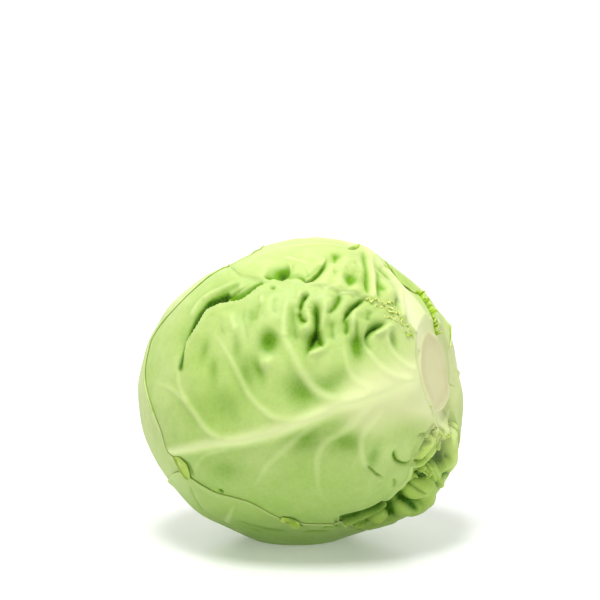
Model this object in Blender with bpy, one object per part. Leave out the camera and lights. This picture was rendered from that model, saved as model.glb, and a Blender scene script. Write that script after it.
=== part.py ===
"""Cabbage head lying on its side, stem along +X and tilted up, resting on z = 0.

Each outer leaf is a thin closed blade laid over what is beneath it. Lengths are
millimetres and angles degrees until a mesh is made, which is in metres.
"""
import math

import bmesh
import bpy
import numpy as np
from mathutils import Vector
from mathutils.bvhtree import BVHTree

for item in list(bpy.data.objects):
    bpy.data.objects.remove(item, do_unlink=True)

# The head: centre above the ground, stem tilt and half sizes of its ellipsoid.
CENTRE_HEIGHT = 81.0
STEM_TILT = 10.0
HALF_X, HALF_Y, HALF_Z = 85.5, 84.0, 80.0
LEAF_THICKNESS = 1.6
LEAF_GAP = 0.55
HEART_DEPTH = 10.5
STUMP_RADIUS = 19.6
STUMP_FACE = 80.0
SEED = 11

# Swellings of the head: polar place (from the stem, round it), reach, height.
SWELLINGS = (
    ((45, -105), 24, 7.0), ((62, -95), 14, 2.5), ((120, -75), 30, 2.2),
    ((100, -90), 20, 6.0), ((110, 84), 22, -4.0), ((34, 150), 24, 3.5),
    ((30, 50), 20, 1.5), ((0, 0), 23, -6.5), ((30, -140), 19, 3.6),
    ((150, -12), 34, 2.2), ((56, 98), 16, 2.6),
)

tilt = math.radians(STEM_TILT)
STEM = np.array((math.cos(tilt), 0.0, math.sin(tilt)))
FRONT = np.array((0.0, -1.0, 0.0))
OVER = np.array((-math.sin(tilt), 0.0, math.cos(tilt)))
CENTRE = np.array((0.0, 0.0, CENTRE_HEIGHT))


def polar(theta, phi):
    """Unit direction at theta from the stem and phi round it."""
    t, p = math.radians(theta), math.radians(phi)
    ring = math.cos(p) * FRONT + math.sin(p) * OVER
    return math.cos(t) * STEM + math.sin(t) * ring


def head_radius(d):
    """Distance from the centre to the head's smooth surface."""
    size = np.array((HALF_X, HALF_Y, HALF_Z))
    radius = 1.0 / np.sqrt(((d / size) ** 2).sum(1))
    for place, reach, height in SWELLINGS:
        off = np.degrees(np.arccos(np.clip(d @ polar(*place), -1, 1)))
        radius = radius + height * np.exp(-(off / reach) ** 2)
    return radius


def above_ground(d, radius, clearance):
    """Keep a surface at least clearance above z = 0."""
    down = np.maximum(-d[:, 2], 1e-6)
    return np.minimum(radius, (CENTRE_HEIGHT - clearance) / down)


class Chart:
    """Flat map of directions round one centre, in degrees.

    y points away from the stem and x round it.
    """

    def __init__(self, theta, phi):
        t, p = math.radians(theta), math.radians(phi)
        ring = math.cos(p) * FRONT + math.sin(p) * OVER
        self.centre = polar(theta, phi)
        self.x = -math.sin(p) * FRONT + math.cos(p) * OVER
        self.y = -math.sin(t) * STEM + math.cos(t) * ring

    def directions(self, xy):
        reach = np.hypot(xy[:, 0], xy[:, 1])
        angle = np.radians(reach)
        unit = xy / np.maximum(reach, 1e-9)[:, None]
        side = unit[:, :1] * self.x + unit[:, 1:] * self.y
        return np.cos(angle)[:, None] * self.centre + np.sin(angle)[:, None] * side

    def points(self, places):
        """Chart points of (theta, phi) places."""
        d = np.array([polar(*place) for place in places])
        across = np.stack((d @ self.x, d @ self.y), 1)
        length = np.maximum(np.hypot(across[:, 0], across[:, 1]), 1e-9)
        reach = np.degrees(np.arctan2(length, d @ self.centre))
        return across / length[:, None] * reach[:, None]


def along(points, path):
    """Nearest distance to a path, the side it is on and how far along it."""
    path = np.asarray(path, float)
    steps = path[1:] - path[:-1]
    lengths = np.hypot(steps[:, 0], steps[:, 1])
    starts = np.concatenate(((0,), np.cumsum(lengths)))
    best = np.full(len(points), 1e9)
    side = np.ones(len(points))
    part = np.zeros(len(points))
    for k, step in enumerate(steps):
        rel = points - path[k]
        t = np.clip(rel @ step / lengths[k] ** 2, 0, 1)
        off = rel - t[:, None] * step
        dist = np.hypot(off[:, 0], off[:, 1])
        near = dist < best
        best[near] = dist[near]
        cross = step[0] * rel[:, 1] - step[1] * rel[:, 0]
        side[near] = np.where(cross[near] >= 0, 1, -1)
        part[near] = ((starts[k] + t * lengths[k]) / starts[-1])[near]
    return best, side, part


def rib(points, path, width, height, end_width=None, end_height=None):
    """Raised vein that tapers along its path."""
    dist, _, part = along(points, path)
    wide = width + ((width if end_width is None else end_width) - width) * part
    high = height + ((0.5 * height if end_height is None else end_height) - height) * part
    return high * np.exp(-(dist / wide) ** 2)


def dent(points, place, size, depth, turn=0.0):
    """Rounded hollow, or a bump where depth is negative."""
    rel = points - np.asarray(place, float)
    c, s = math.cos(math.radians(turn)), math.sin(math.radians(turn))
    u = (rel[:, 0] * c + rel[:, 1] * s) / size[0]
    v = (-rel[:, 0] * s + rel[:, 1] * c) / size[1]
    return -depth * np.exp(-(u * u + v * v))


def fold(points, path, width, ridge, groove, side=1):
    """Ridge with a groove beside it; side picks which hand the ridge is on."""
    dist, hand, part = along(points, path)
    across = dist * hand * side
    fade = np.sin(np.pi * np.clip(part * 0.84 + 0.08, 0, 1)) ** 0.6
    up = ridge * np.exp(-((across - 0.8 * width) / width) ** 2)
    down = groove * np.exp(-((across + 0.8 * width) / width) ** 2)
    return fade * (up - down)


def puckers(d, seed, count, reach, height):
    """Soft random swellings spread over the whole sphere."""
    rng = np.random.default_rng(seed)
    total = np.zeros(len(d))
    for _ in range(count):
        c = rng.normal(size=3)
        c /= np.linalg.norm(c)
        h = height * rng.uniform(-1, 1)
        off = np.degrees(np.arccos(np.clip(d @ c, -1, 1)))
        total += h * np.exp(-(off / reach) ** 2)
    return total


def material(name, colour, roughness):
    made = bpy.data.materials.new(name)
    made.use_nodes = True
    shader = made.node_tree.nodes["Principled BSDF"]
    shader.inputs["Base Color"].default_value = (*colour, 1)
    shader.inputs["Roughness"].default_value = roughness
    return made


def finish(name, bm, made):
    """Turn a bmesh in millimetres into the node's object in metres."""
    bmesh.ops.triangulate(bm, faces=bm.faces[:])
    bmesh.ops.recalc_face_normals(bm, faces=bm.faces[:])
    put_down(bm)
    bmesh.ops.scale(bm, vec=(0.001, 0.001, 0.001), verts=bm.verts[:])
    mesh = bpy.data.meshes.new(name)
    bm.to_mesh(mesh)
    bm.free()
    mesh.materials.append(made)
    item = bpy.data.objects.new(name, mesh)
    bpy.context.scene.collection.objects.link(item)
    return item


placed_vertices = np.zeros((0, 3))
placed_faces = []


def put_down(bm):
    """Add a finished piece to what later leaves are laid over."""
    global placed_vertices
    shift = len(placed_vertices)
    bm.verts.index_update()
    placed_vertices = np.vstack((placed_vertices, [tuple(v.co) for v in bm.verts]))
    placed_faces.extend(tuple(v.index + shift for v in f.verts) for f in bm.faces)


def outline_reach(outline, psi, waves, seed):
    """Chart distance to the leaf's waved margin at angles psi."""
    outline = np.asarray(outline, float)
    angle = np.degrees(np.arctan2(outline[:, 1], outline[:, 0])) % 360
    reach = np.hypot(outline[:, 0], outline[:, 1])
    order = np.argsort(angle)
    grid = np.arange(0.0, 360.0, 1.0)
    smooth = np.interp(grid, angle[order], reach[order], period=360)
    kernel = np.exp(-(np.arange(-9, 10) / 3.0) ** 2)
    wrapped = np.concatenate((smooth[-9:], smooth, smooth[:9]))
    smooth = np.convolve(wrapped, kernel / kernel.sum(), "valid")
    rng = np.random.default_rng(seed)
    for count in (9, 14, 23):
        smooth = smooth + waves * rng.uniform(0.4, 1) * np.sin(
            np.radians(grid) * count + rng.uniform(0, 6.28))
    return np.interp(psi % 360, grid, smooth, period=360)


def leaf(name, chart, outline, cells, relief, made, layers_above=0, cover=(),
         waves=0.5, lift=LEAF_GAP, seed=SEED):
    """Lay one leaf over the pieces placed so far and return its object.

    relief gives the height of the outer face from chart points, directions
    and the share of the way out to the margin. cover lists the charts and
    outlines of the leaves that lie over it, under which it sinks.
    """
    bm = bmesh.new()
    bmesh.ops.create_grid(bm, x_segments=cells, y_segments=cells, size=1)
    u, v, _ = np.array([tuple(vert.co) for vert in bm.verts]).T
    x = u * np.sqrt(1 - v * v / 2)
    y = v * np.sqrt(1 - u * u / 2)
    share = np.hypot(x, y)
    psi = np.degrees(np.arctan2(y, x))
    reach = outline_reach(outline, psi, waves, seed)
    points = np.stack((x, y), 1) * reach[:, None]
    d = chart.directions(points)

    sink = np.zeros(len(d))
    for other, other_outline in cover:
        across = np.stack((d @ other.x, d @ other.y), 1)
        far = np.degrees(np.arctan2(np.hypot(across[:, 0], across[:, 1]), d @ other.centre))
        angle = np.degrees(np.arctan2(across[:, 1], across[:, 0]))
        inside = outline_reach(other_outline, angle, 0, 0) - far
        part = np.clip((inside + 5) / 9, 0, 1)
        sink = sink + part * part * (3 - 2 * part)
    hidden = np.minimum(sink, 1)
    outer = head_radius(d) + relief(points, d, share) * (1 - 0.8 * hidden) - 2.7 * sink
    room = layers_above * (LEAF_THICKNESS + LEAF_GAP + 0.25)
    outer = above_ground(d, outer, room)

    tree = BVHTree.FromPolygons([Vector(p) for p in placed_vertices], placed_faces)

    def beneath(dirs):
        """Radius of the outermost placed surface along each direction."""
        out = np.zeros(len(dirs))
        for k, one in enumerate(dirs):
            way = Vector(one)
            hit = tree.ray_cast(Vector(CENTRE) + way * 200, -way)
            if hit[0] is not None:
                out[k] = 200 - hit[3]
        return out

    outer = np.maximum(outer, beneath(d) + lift + LEAF_THICKNESS)

    for vert, flat in zip(bm.verts, points):
        vert.co = (flat[0], flat[1], 0)
    bmesh.ops.triangulate(bm, faces=bm.faces[:], quad_method="SHORT_EDGE")
    bm.verts.index_update()
    tris = np.array([[vert.index for vert in face.verts] for face in bm.faces])
    weights = [(i / 6, j / 6, (6 - i - j) / 6) for i in range(7) for j in range(7 - i)]
    lookups = []
    for w in weights:
        inner = d * (outer - LEAF_THICKNESS)[:, None]
        sample = sum(inner[tris[:, k]] * w[k] for k in range(3))
        lookups.append((w, beneath(sample / np.linalg.norm(sample, axis=1)[:, None])))
    corners = placed_vertices[np.array(placed_faces)] - CENTRE
    below = np.vstack([placed_vertices - CENTRE] + [
        np.einsum("nkc,k->nc", corners, w) for w in
        ((0.5, 0.5, 0), (0, 0.5, 0.5), (0.5, 0, 0.5), (1 / 3, 1 / 3, 1 / 3),
         (0.75, 0.25, 0), (0.25, 0.75, 0), (0, 0.75, 0.25), (0, 0.25, 0.75),
         (0.75, 0, 0.25), (0.25, 0, 0.75))])
    below_radius = np.linalg.norm(below, axis=1)
    for _ in range(5):
        inner = d * (outer - LEAF_THICKNESS)[:, None]
        push = np.zeros(len(d))
        for w, under in lookups:
            sample = sum(inner[tris[:, k]] * w[k] for k in range(3))
            lack = under + lift - np.linalg.norm(sample, axis=1)
            for k in range(3):
                np.maximum.at(push, tris[:, k], lack)
        own = BVHTree.FromPolygons([Vector(p) for p in inner], [tuple(t) for t in tris])
        for place, radius in zip(below, below_radius):
            hit = own.ray_cast(Vector((0, 0, 0)), Vector(place / radius))
            if hit[0] is not None and hit[3] < radius + lift:
                np.maximum.at(push, tris[hit[2]], radius + lift - hit[3])
        if push.max() < 0.01:
            break
        outer = outer + np.maximum(push, 0) * 1.02
    floor = above_ground(d, outer, room)
    squashed = (outer - floor).max()
    if squashed > 0.01 and layers_above == 0:
        lowest = np.where(floor < outer, outer - floor, 0)
        print("leaf", name, "pressed flat by up to", round(float(lowest.max()), 2))
    outer = floor

    outside = CENTRE + d * outer[:, None]
    outside[np.abs(outside[:, 2]) < 1e-6, 2] = 0.0
    inside = CENTRE + d * (outer - LEAF_THICKNESS)[:, None]
    count = len(d)
    rim = [edge for edge in bm.edges if edge.is_boundary]
    copied = bmesh.ops.duplicate(bm, geom=bm.verts[:] + bm.edges[:] + bm.faces[:])
    bm.verts.ensure_lookup_table()
    inner_rim = [copied["edge_map"][edge] for edge in rim]
    for k in range(count):
        twin = copied["vert_map"][bm.verts[k]]
        bm.verts[k].co = outside[k]
        twin.co = inside[k]
    bmesh.ops.bridge_loops(bm, edges=rim + inner_rim)
    print(name, "outer radius", round(float(outer.min()), 1), round(float(outer.max()), 1))
    return finish(name, bm, made)


FRONT_GREEN = material("leaf_front_green", (0.36, 0.53, 0.10), 0.42)
TOP_GREEN = material("leaf_top_green", (0.55, 0.70, 0.22), 0.42)
BACK_GREEN = material("leaf_back_green", (0.42, 0.58, 0.14), 0.45)
UNDER_GREEN = material("leaf_under_green", (0.22, 0.40, 0.05), 0.45)
LEFT_GREEN = material("leaf_left_green", (0.45, 0.58, 0.20), 0.42)
LOWER_GREEN = material("leaf_lower_green", (0.38, 0.52, 0.16), 0.42)
HEART_CREAM = material("heart_cream", (0.66, 0.64, 0.36), 0.6)

# Heart: the cut stump and, in one body with it, the packed inner leaves. A
# sphere round the stem, whose first rows become the stump's face and wall.
SIDES = 26
STUMP_ROWS = ((0.0, STUMP_FACE), (0.45 * STUMP_RADIUS, STUMP_FACE),
              (0.94 * STUMP_RADIUS, STUMP_FACE), (STUMP_RADIUS, STUMP_FACE - 1.2),
              (1.02 * STUMP_RADIUS, 72.0))
HEART_THETAS = (17, 24, 32, 40, 48, 56, 64, 72, 80, 88, 96, 104, 112, 120, 128, 136, 144,
                152, 160, 170, 180)
heart_rows = len(STUMP_ROWS) + len(HEART_THETAS) - 1
bm = bmesh.new()
bmesh.ops.create_uvsphere(bm, u_segments=SIDES, v_segments=heart_rows, radius=1)
for vert in bm.verts:
    row = round(math.acos(max(-1, min(1, vert.co.z))) / math.pi * heart_rows)
    phi = math.atan2(vert.co.y, vert.co.x)
    if row < len(STUMP_ROWS):
        reach, height = STUMP_ROWS[row]
        squash = 1 + 0.012 * math.sin(2 * phi + 0.6) + 0.012 * math.sin(5 * phi)
        ring = math.cos(phi) * FRONT + math.sin(phi) * OVER
        vert.co = CENTRE + STEM * height + ring * reach * squash
    else:
        way = polar(HEART_THETAS[row - len(STUMP_ROWS)], math.degrees(phi))[None, :]
        radius = head_radius(way) - HEART_DEPTH + puckers(way, 5, 60, 14, 0.8)
        vert.co = CENTRE + way[0] * float(above_ground(way, radius, 9.5)[0])
finish("heart", bm, HEART_CREAM)

# Charts and margins of the six outer leaves.
front_chart = Chart(88, -8)
front_outline = [
    (0, -73.4), (7, -75.2), (13, -77), (17, -74), (22, -71), (31, -68), (35, -63), (38, -58), (42, -53), (46, -46),
    (48, -40), (50, -33), (52, -26), (55, -17), (59, -6), (62, 5), (59, 18), (52, 32),
    (45, 44), (35, 52), (25, 56), (10, 61), (-10, 61), (-28, 54), (-42, 38), (-52, 18),
    (-55, -4), (-54, -20), (-54, -32), (-54, -40), (-50, -48), (-44, -55), (-37, -59),
    (-32, -67), (-25, -74), (-18, -80), (-13, -81), (-9, -76.4)]
top_chart = Chart(85, 95)
top_outline = top_chart.points([
    (14.6, 95), (14.6, 70), (17, 52), (28, 41), (42, 36), (58, 34), (72, 34), (88, 38), (104, 38),
    (117, 42), (128, 62), (133, 95), (127, 118), (112, 134), (92, 142), (70, 145),
    (48, 142), (30, 136), (17, 126), (14.6, 112)])
back_chart = Chart(88, 160)
back_outline = back_chart.points([
    (14.6, 160), (14.6, 120), (15, 96), (19, 87), (27, 86), (36, 89), (48, 91), (60, 92), (72, 92),
    (85, 95), (98, 100), (112, 106), (126, 116), (138, 132), (146, 160), (140, 190),
    (126, 204), (108, 212), (88, 216), (66, 218), (44, 216), (26, 206), (15, 196), (14.6, 178)])
under_chart = Chart(80, -84)
under_outline = under_chart.points([
    (14.6, -92), (14.6, -60), (19, -47), (26, -44), (38, -44), (52, -48), (68, -48), (84, -44), (100, -40),
    (116, -44), (128, -60), (133, -84), (128, -108), (114, -124), (96, -134), (76, -142),
    (54, -150), (34, -156), (19, -156), (14.6, -134)])
left_chart = Chart(128, -150)
left_outline = left_chart.points([
    (14.8, 182), (15.2, 168), (24, 160), (36, 156), (50, 152), (64, 138), (78, 122), (89, 105), (98, 88),
    (107, 73), (113, 66), (120, 58), (130, 50), (138, 40), (141, 27), (138, 14), (135, 0),
    (131, -6), (128, -20), (126, -34), (120, -52), (112, -66), (100, -84), (86, -100),
    (70, -114), (54, -130), (36, -142), (22, -156), (15.2, -166)])
lower_chart = Chart(98, -118)
lower_outline = lower_chart.points([
    (14.8, -150), (15.4, -136), (24, -128), (38, -123), (54, -115), (66, -104), (76, -90), (82, -74),
    (86, -60), (90, -53), (94, -47), (99, -39), (110, -34), (118, -31), (124, -31),
    (129, -24), (133, -28), (139, -40), (146, -62), (150, -90), (146, -118), (136, -140),
    (120, -152), (100, -158), (78, -162), (56, -166), (36, -170), (20, -174), (15, -166)])


def under_relief(points, d, share):
    """Deep crumples where the leaf shows at the lower right."""
    h = puckers(d, 21, 90, 13, 1.6)
    place = under_chart.points
    shown = np.exp(-((np.degrees(np.arccos(np.clip(d @ polar(46, -92), -1, 1)))) / 30) ** 4)
    h += shown * puckers(d, 22, 420, 6.5, 4.2)
    for path in (((34, -58), (40, -76), (44, -98)), ((44, -66), (50, -84), (56, -104)),
                 ((56, -70), (62, -84), (66, -98)), ((24, -62), (30, -84), (30, -112))):
        h += fold(points, place(path), 4.0, 3.6, 4.4)
    h += rib(points, place([(18, -84), (60, -86), (110, -84)]), 5, 1.6, 2.2)
    return h


def top_relief(points, d, share):
    place = top_chart.points
    h = puckers(d, 31, 90, 13, 1.0)
    h += rib(points, place([(16, 87), (29, 92), (38, 88), (60, 92), (100, 95)]), 8.5, 3.2, 3, 1.2)
    h -= 0.8 * np.exp(-(share / 0.5) ** 2)
    h += dent(points, place([(72, 58)])[0], (9, 9), -3.0)
    h += dent(points, place([(74, 51)])[0], (5, 4), 3.6)
    h += fold(points, place([(66, 44), (61, 56), (61, 66)]), 4.5, 2.0, 3.2, -1)
    h += fold(points, place([(50, 82), (46, 66), (43, 50)]), 4.0, 3.0, 3.6, 1)
    h += rib(points, place([(48, 72), (42, 64), (38, 56)]), 4, 2.0)
    h += dent(points, place([(38, 63)])[0], (5, 5), -1.6)
    h += fold(points, place([(62, 84), (54, 88), (47, 88)]), 4.0, 2.2, 2.6, -1)
    h += rib(points, place([(56, 94), (74, 80), (92, 74)]), 3, 1.0)
    h += rib(points, place([(74, 95), (92, 112), (108, 122)]), 3, 1.0)
    return h


def back_relief(points, d, share):
    place = back_chart.points
    h = puckers(d, 41, 110, 12, 1.2)
    h += rib(points, place([(14, 160), (60, 161), (100, 160), (140, 162)]), 7, 4.0, 3.0, 1.6)
    for near, far in (((44, 160), (62, 120)), ((66, 160), (88, 118)), ((92, 160), (116, 128)),
                      ((52, 160), (74, 200)), ((78, 160), (104, 198)), ((104, 160), (128, 190))):
        h += rib(points, place([near, far]), 3.8, 2.2)
    h += dent(points, place([(70, 138)])[0], (9, 6), 1.8, 30)
    h += dent(points, place([(94, 140)])[0], (8, 6), 1.6, 20)
    h += dent(points, place([(60, 180)])[0], (9, 6), 1.6, -30)
    return h


def front_relief(points, d, share):
    h = puckers(d, 51, 110, 11, 0.9)
    midrib = ((3, -76), (5, -65), (3, -44), (0, -30), (-3, -13), (-4, 0), (-4, 11), (-8, 38))
    h += rib(points, midrib, 7.5, 4.0, 3.4, 2.2)
    for path, high in (
            (((-4, 11), (7, 22), (14, 28), (19, 42), (21, 54)), 1.3),
            (((14, 28), (27, 28), (38, 27), (50, 29)), 0.8),
            (((-1, -15), (4, -6), (18, 0), (29, 6), (41, 14)), 1.2),
            (((3, -34), (6, -27), (15, -23), (26, -18), (35, -14), (42, -10)), 1.3),
            (((7, -54), (15, -49), (23, -47), (34, -49)), 1.2),
            (((9, -63), (17, -59), (24, -57)), 1.0),
            (((0, -42), (-8, -28), (-14, -23), (-34, -16)), 1.1),
            (((-5, -18), (-11, -5), (-16, 1), (-28, 9)), 0.9),
            (((-2, -56), (-6, -48), (-13, -43), (-28, -43)), 0.9)):
        h += rib(points, path, 2.8, 1.7 * high)
    h += dent(points, (30, -11), (6, 6), 2.8) + dent(points, (21, -9), (3, 4), -1.2)
    h += fold(points, ((40, -33), (31, -30), (22, -26)), 3.4, 1.4, 4.0, -1)
    h += dent(points, (24, -52), (5, 4), 3.4) + dent(points, (34, -47), (6, 4), 1.8)
    h += dent(points, (12, -36), (5, 8), 1.6) + dent(points, (-14, -32), (7, 8), 2.0)
    h += dent(points, (-17, -45), (4, 4), -1.4) + dent(points, (43, -22), (4, 4), 2.0)
    h += fold(points, ((-25, -50), (-32, -51), (-38, -58)), 3.0, 1.6, 2.6, 1)
    h += fold(points, ((-28, -38), (-34, -40), (-40, -46)), 3.0, 1.2, 1.8, 1)
    lip = ((24, 27), (30, 25), (38, 20), (43, 16), (47, 13), (49, 9), (51, 5), (55, -3))
    h += fold(points, lip, 4.2, 2.4, 3.2, 1)
    h += fold(points, ((50, 3), (52, -6), (54, -13)), 3.4, 1.6, 2.0, 1)
    edge = np.clip((share - 0.8) / 0.2, 0, 1)
    wave = np.sin(np.radians(np.degrees(np.arctan2(points[:, 1], points[:, 0])) * 17))
    upper = np.clip((points[:, 0] - 18) / 12, 0, 1) * np.clip(-points[:, 1] / 14, 0, 1)
    return h + edge * upper * (1.4 * wave + 0.8)


def left_relief(points, d, share):
    place = left_chart.points
    h = puckers(d, 61, 120, 12, 1.0)
    h += rib(points, place([(14, 178), (40, 186), (70, 200), (104, 208), (140, 210), (170, 0)]),
             7, 4.0, 3, 1.4)
    for near, far in (((48, 190), (66, 158)), ((74, 201), (94, 148)), ((104, 208), (120, 130)),
                      ((56, 194), (76, 226)), ((86, 204), (104, 240)), ((116, 208), (134, 262)),
                      ((142, 210), (134, 120)), ((150, 210), (150, 300))):
        h += rib(points, place([near, far]), 4.5, 2.4)
    return h


def lower_relief(points, d, share):
    place = lower_chart.points
    h = puckers(d, 71, 110, 12, 0.8)
    h += rib(points, place([(14, -152), (40, -144), (68, -132), (100, -122), (134, -108)]),
             6.5, 3.8, 3, 1.4)
    for near, far in (((44, -142), (70, -108)), ((72, -131), (98, -94)), ((100, -122), (122, -74)),
                      ((56, -138), (84, -154)), ((86, -126), (114, -148)), ((118, -116), (140, -134))):
        h += rib(points, place([near, far]), 3.6, 1.8)
    low = np.degrees(np.arccos(np.clip(-d[:, 2], -1, 1)))
    return h * np.clip((low - 12) / 14, 0, 1)


front = (front_chart, front_outline)
back = (back_chart, back_outline)
left = (left_chart, left_outline)
lower = (lower_chart, lower_outline)
leaf("leaf_under", under_chart, under_outline, 23, under_relief, UNDER_GREEN, 2,
     cover=(front, left, lower), waves=0.9, seed=2)
leaf("leaf_top", top_chart, top_outline, 21, top_relief, TOP_GREEN, 3,
     cover=(front, back, left), waves=0.6, seed=3)
leaf("leaf_back", back_chart, back_outline, 19, back_relief, BACK_GREEN, 3,
     cover=(left, lower), waves=0.8, seed=4)
leaf("leaf_front", front_chart, front_outline, 26, front_relief, FRONT_GREEN, 2,
     cover=(left, lower), waves=0.4, seed=5)
leaf("leaf_left", left_chart, left_outline, 23, left_relief, LEFT_GREEN, 1,
     cover=(lower,), waves=0.5, seed=6)
leaf("leaf_lower", lower_chart, lower_outline, 19, lower_relief, LOWER_GREEN, 0,
     waves=0.5, seed=7)
total = sum(len(item.data.polygons) for item in bpy.data.objects)
print("triangles", total)
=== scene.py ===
"""Pale green cabbage head on its side, stem to the right and tilted a little up.

Lengths are millimetres and angles are degrees until a mesh is written, in metres.
"""
import math

import bpy
import numpy as np
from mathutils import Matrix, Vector
from mathutils.bvhtree import BVHTree


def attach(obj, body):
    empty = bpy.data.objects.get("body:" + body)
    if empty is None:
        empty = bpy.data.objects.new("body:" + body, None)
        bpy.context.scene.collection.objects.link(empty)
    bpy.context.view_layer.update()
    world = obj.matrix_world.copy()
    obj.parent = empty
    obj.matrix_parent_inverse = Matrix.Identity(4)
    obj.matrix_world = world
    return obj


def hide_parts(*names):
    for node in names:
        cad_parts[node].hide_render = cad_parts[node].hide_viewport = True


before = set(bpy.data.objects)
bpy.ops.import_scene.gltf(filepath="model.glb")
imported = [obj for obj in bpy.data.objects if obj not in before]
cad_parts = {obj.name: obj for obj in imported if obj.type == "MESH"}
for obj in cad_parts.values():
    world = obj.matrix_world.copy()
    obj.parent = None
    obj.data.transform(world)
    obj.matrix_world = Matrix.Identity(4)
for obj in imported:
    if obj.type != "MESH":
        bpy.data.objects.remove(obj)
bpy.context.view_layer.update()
bpy.ops.object.select_all(action="DESELECT")

# ---
# White studio: a plain pale floor, one big soft light above left and a weaker one to
# the right, and the camera low in front, turned towards the cut stem.
HEAD_CENTRE = np.array((0.0, 0.0, 81.0))
AZIMUTH, ELEVATION = math.radians(22), math.radians(6)
CAMERA_DISTANCE, FRAME_WIDTH, FRAME_SIDE = 1000.0, 324.0, 600
TO_CAMERA = np.array((math.sin(AZIMUTH) * math.cos(ELEVATION),
                      -math.cos(AZIMUTH) * math.cos(ELEVATION), math.sin(ELEVATION)))
TO_RIGHT = np.array((math.cos(AZIMUTH), math.sin(AZIMUTH), 0.0))
TO_TOP = np.cross(TO_CAMERA, TO_RIGHT)
AIM = HEAD_CENTRE + TO_TOP * 47.5
EYE = AIM + TO_CAMERA * CAMERA_DISTANCE

lens = bpy.data.cameras.new("photo_camera")
lens.sensor_width = 36
lens.lens = 36 * CAMERA_DISTANCE / FRAME_WIDTH
camera = bpy.data.objects.new("photo_camera", lens)
bpy.context.scene.collection.objects.link(camera)
camera.location = EYE * 0.001
camera.rotation_euler = Vector(TO_CAMERA).to_track_quat("Z", "Y").to_euler()
bpy.context.scene.camera = camera
bpy.context.scene.view_settings.view_transform = "Standard"


def soft_light(name, place, size, power):
    data = bpy.data.lights.new(name, "AREA")
    data.shape = "DISK"
    data.size = size
    data.energy = power
    lamp = bpy.data.objects.new(name, data)
    bpy.context.scene.collection.objects.link(lamp)
    spot = Vector(TO_RIGHT * place[0] + TO_TOP * place[1] + TO_CAMERA * place[2])
    lamp.location = spot + Vector(HEAD_CENTRE * 0.001)
    lamp.rotation_euler = spot.to_track_quat("Z", "Y").to_euler()


soft_light("key_softbox", (-0.14, 1.16, 0.42), 0.50, 12.9)
soft_light("fill_softbox", (0.9, 0.35, 0.9), 0.9, 1.5)
world = bpy.data.worlds.new("white_studio")
bpy.context.scene.world = world
world.use_nodes = True
world.node_tree.nodes["Background"].inputs["Color"].default_value = (1, 1, 1, 1)
world.node_tree.nodes["Background"].inputs["Strength"].default_value = 0.61

bpy.ops.mesh.primitive_plane_add(size=12, location=(0, 0, 0))
floor = bpy.context.object
floor.name = "studio_floor"
bpy.ops.mesh.primitive_plane_add(size=1)
backdrop = bpy.context.object
backdrop.name = "studio_backdrop"
corners = [TO_RIGHT * x * 7000 - np.array((math.sin(AZIMUTH), -math.cos(AZIMUTH), 0)) * 5500
           + np.array((0, 0, z)) for x, z in ((-1, -20), (1, -20), (-1, 5000), (1, 5000))]
backdrop.data.vertices.foreach_set("co", (np.array(corners) * 0.001).ravel())

# ---
# Stem stump and heart. The stump is the cut end of the stalk, about 40 mm across,
# beige and slightly dried, with a cream rim where older leaves were trimmed off.
# It carries the tightly packed inner leaves, seen only through gaps.
STEM_TILT = math.radians(10)
STEM = np.array((math.cos(STEM_TILT), 0.0, math.sin(STEM_TILT)))
FRONT = np.array((0.0, -1.0, 0.0))
OVER = np.array((-math.sin(STEM_TILT), 0.0, math.cos(STEM_TILT)))
HEAD_HALF_SIZE = np.array((85.5, 84.0, 80.0))
SWELLINGS = (
    ((45, -105), 24, 7.0), ((62, -95), 14, 2.5), ((120, -75), 30, 2.2),
    ((100, -90), 20, 6.0), ((110, 84), 22, -4.0), ((34, 150), 24, 3.5),
    ((30, 50), 20, 1.5), ((0, 0), 23, -6.5), ((30, -140), 19, 3.6),
    ((150, -12), 34, 2.2), ((56, 98), 16, 2.6),
    ((25, 150), 8, -3.8), ((24, 178), 8, -2.8), ((20, -128), 9, -3.2), ((38, 100), 13, -4.6),
    ((131, -56), 10, 1.6), ((24, -126), 7, -2.4), ((27, 165), 7, 3.0),
)


def polar(theta, phi):
    """Unit direction at theta from the stem and phi round it."""
    t, p = math.radians(theta), math.radians(phi)
    ring = math.cos(p) * FRONT + math.sin(p) * OVER
    return math.cos(t) * STEM + math.sin(t) * ring


def head_radius(d):
    """Distance from the head's centre to its smooth surface."""
    radius = 1.0 / np.sqrt(((d / HEAD_HALF_SIZE) ** 2).sum(1))
    for place, reach, height in SWELLINGS:
        off = np.degrees(np.arccos(np.clip(d @ polar(*place), -1, 1)))
        radius = radius + height * np.exp(-(off / reach) ** 2)
    return radius


def above_ground(d, radius, clearance=0.0):
    down = np.maximum(-d[:, 2], 1e-6)
    return np.minimum(radius, (HEAD_CENTRE[2] - clearance) / down)


def soft_bumps(d, seed, count, reach, height):
    """Soft random swellings all over the head."""
    rng = np.random.default_rng(seed)
    total = np.zeros(len(d))
    for _ in range(count):
        c = rng.normal(size=3)
        c /= np.linalg.norm(c)
        cosine = d @ c
        near = cosine > math.cos(math.radians(min(3 * reach, 180)))
        off = np.degrees(np.arccos(np.clip(cosine[near], -1, 1)))
        total[near] += height * rng.uniform(-1, 1) * np.exp(-(off / reach) ** 2)
    return total


def set_places(item, places):
    item.data.vertices.foreach_set("co", (places * 0.001).astype(np.float32).ravel())
    item.data.update()


def get_places(item):
    co = np.empty(len(item.data.vertices) * 3, np.float32)
    item.data.vertices.foreach_get("co", co)
    return co.reshape(-1, 3).astype(float)


def paint(item, name, values):
    """Store one number a vertex for the material to read."""
    layer = item.data.attributes.new(name, "FLOAT", "POINT")
    layer.data.foreach_set("value", np.asarray(values, np.float32))


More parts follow.
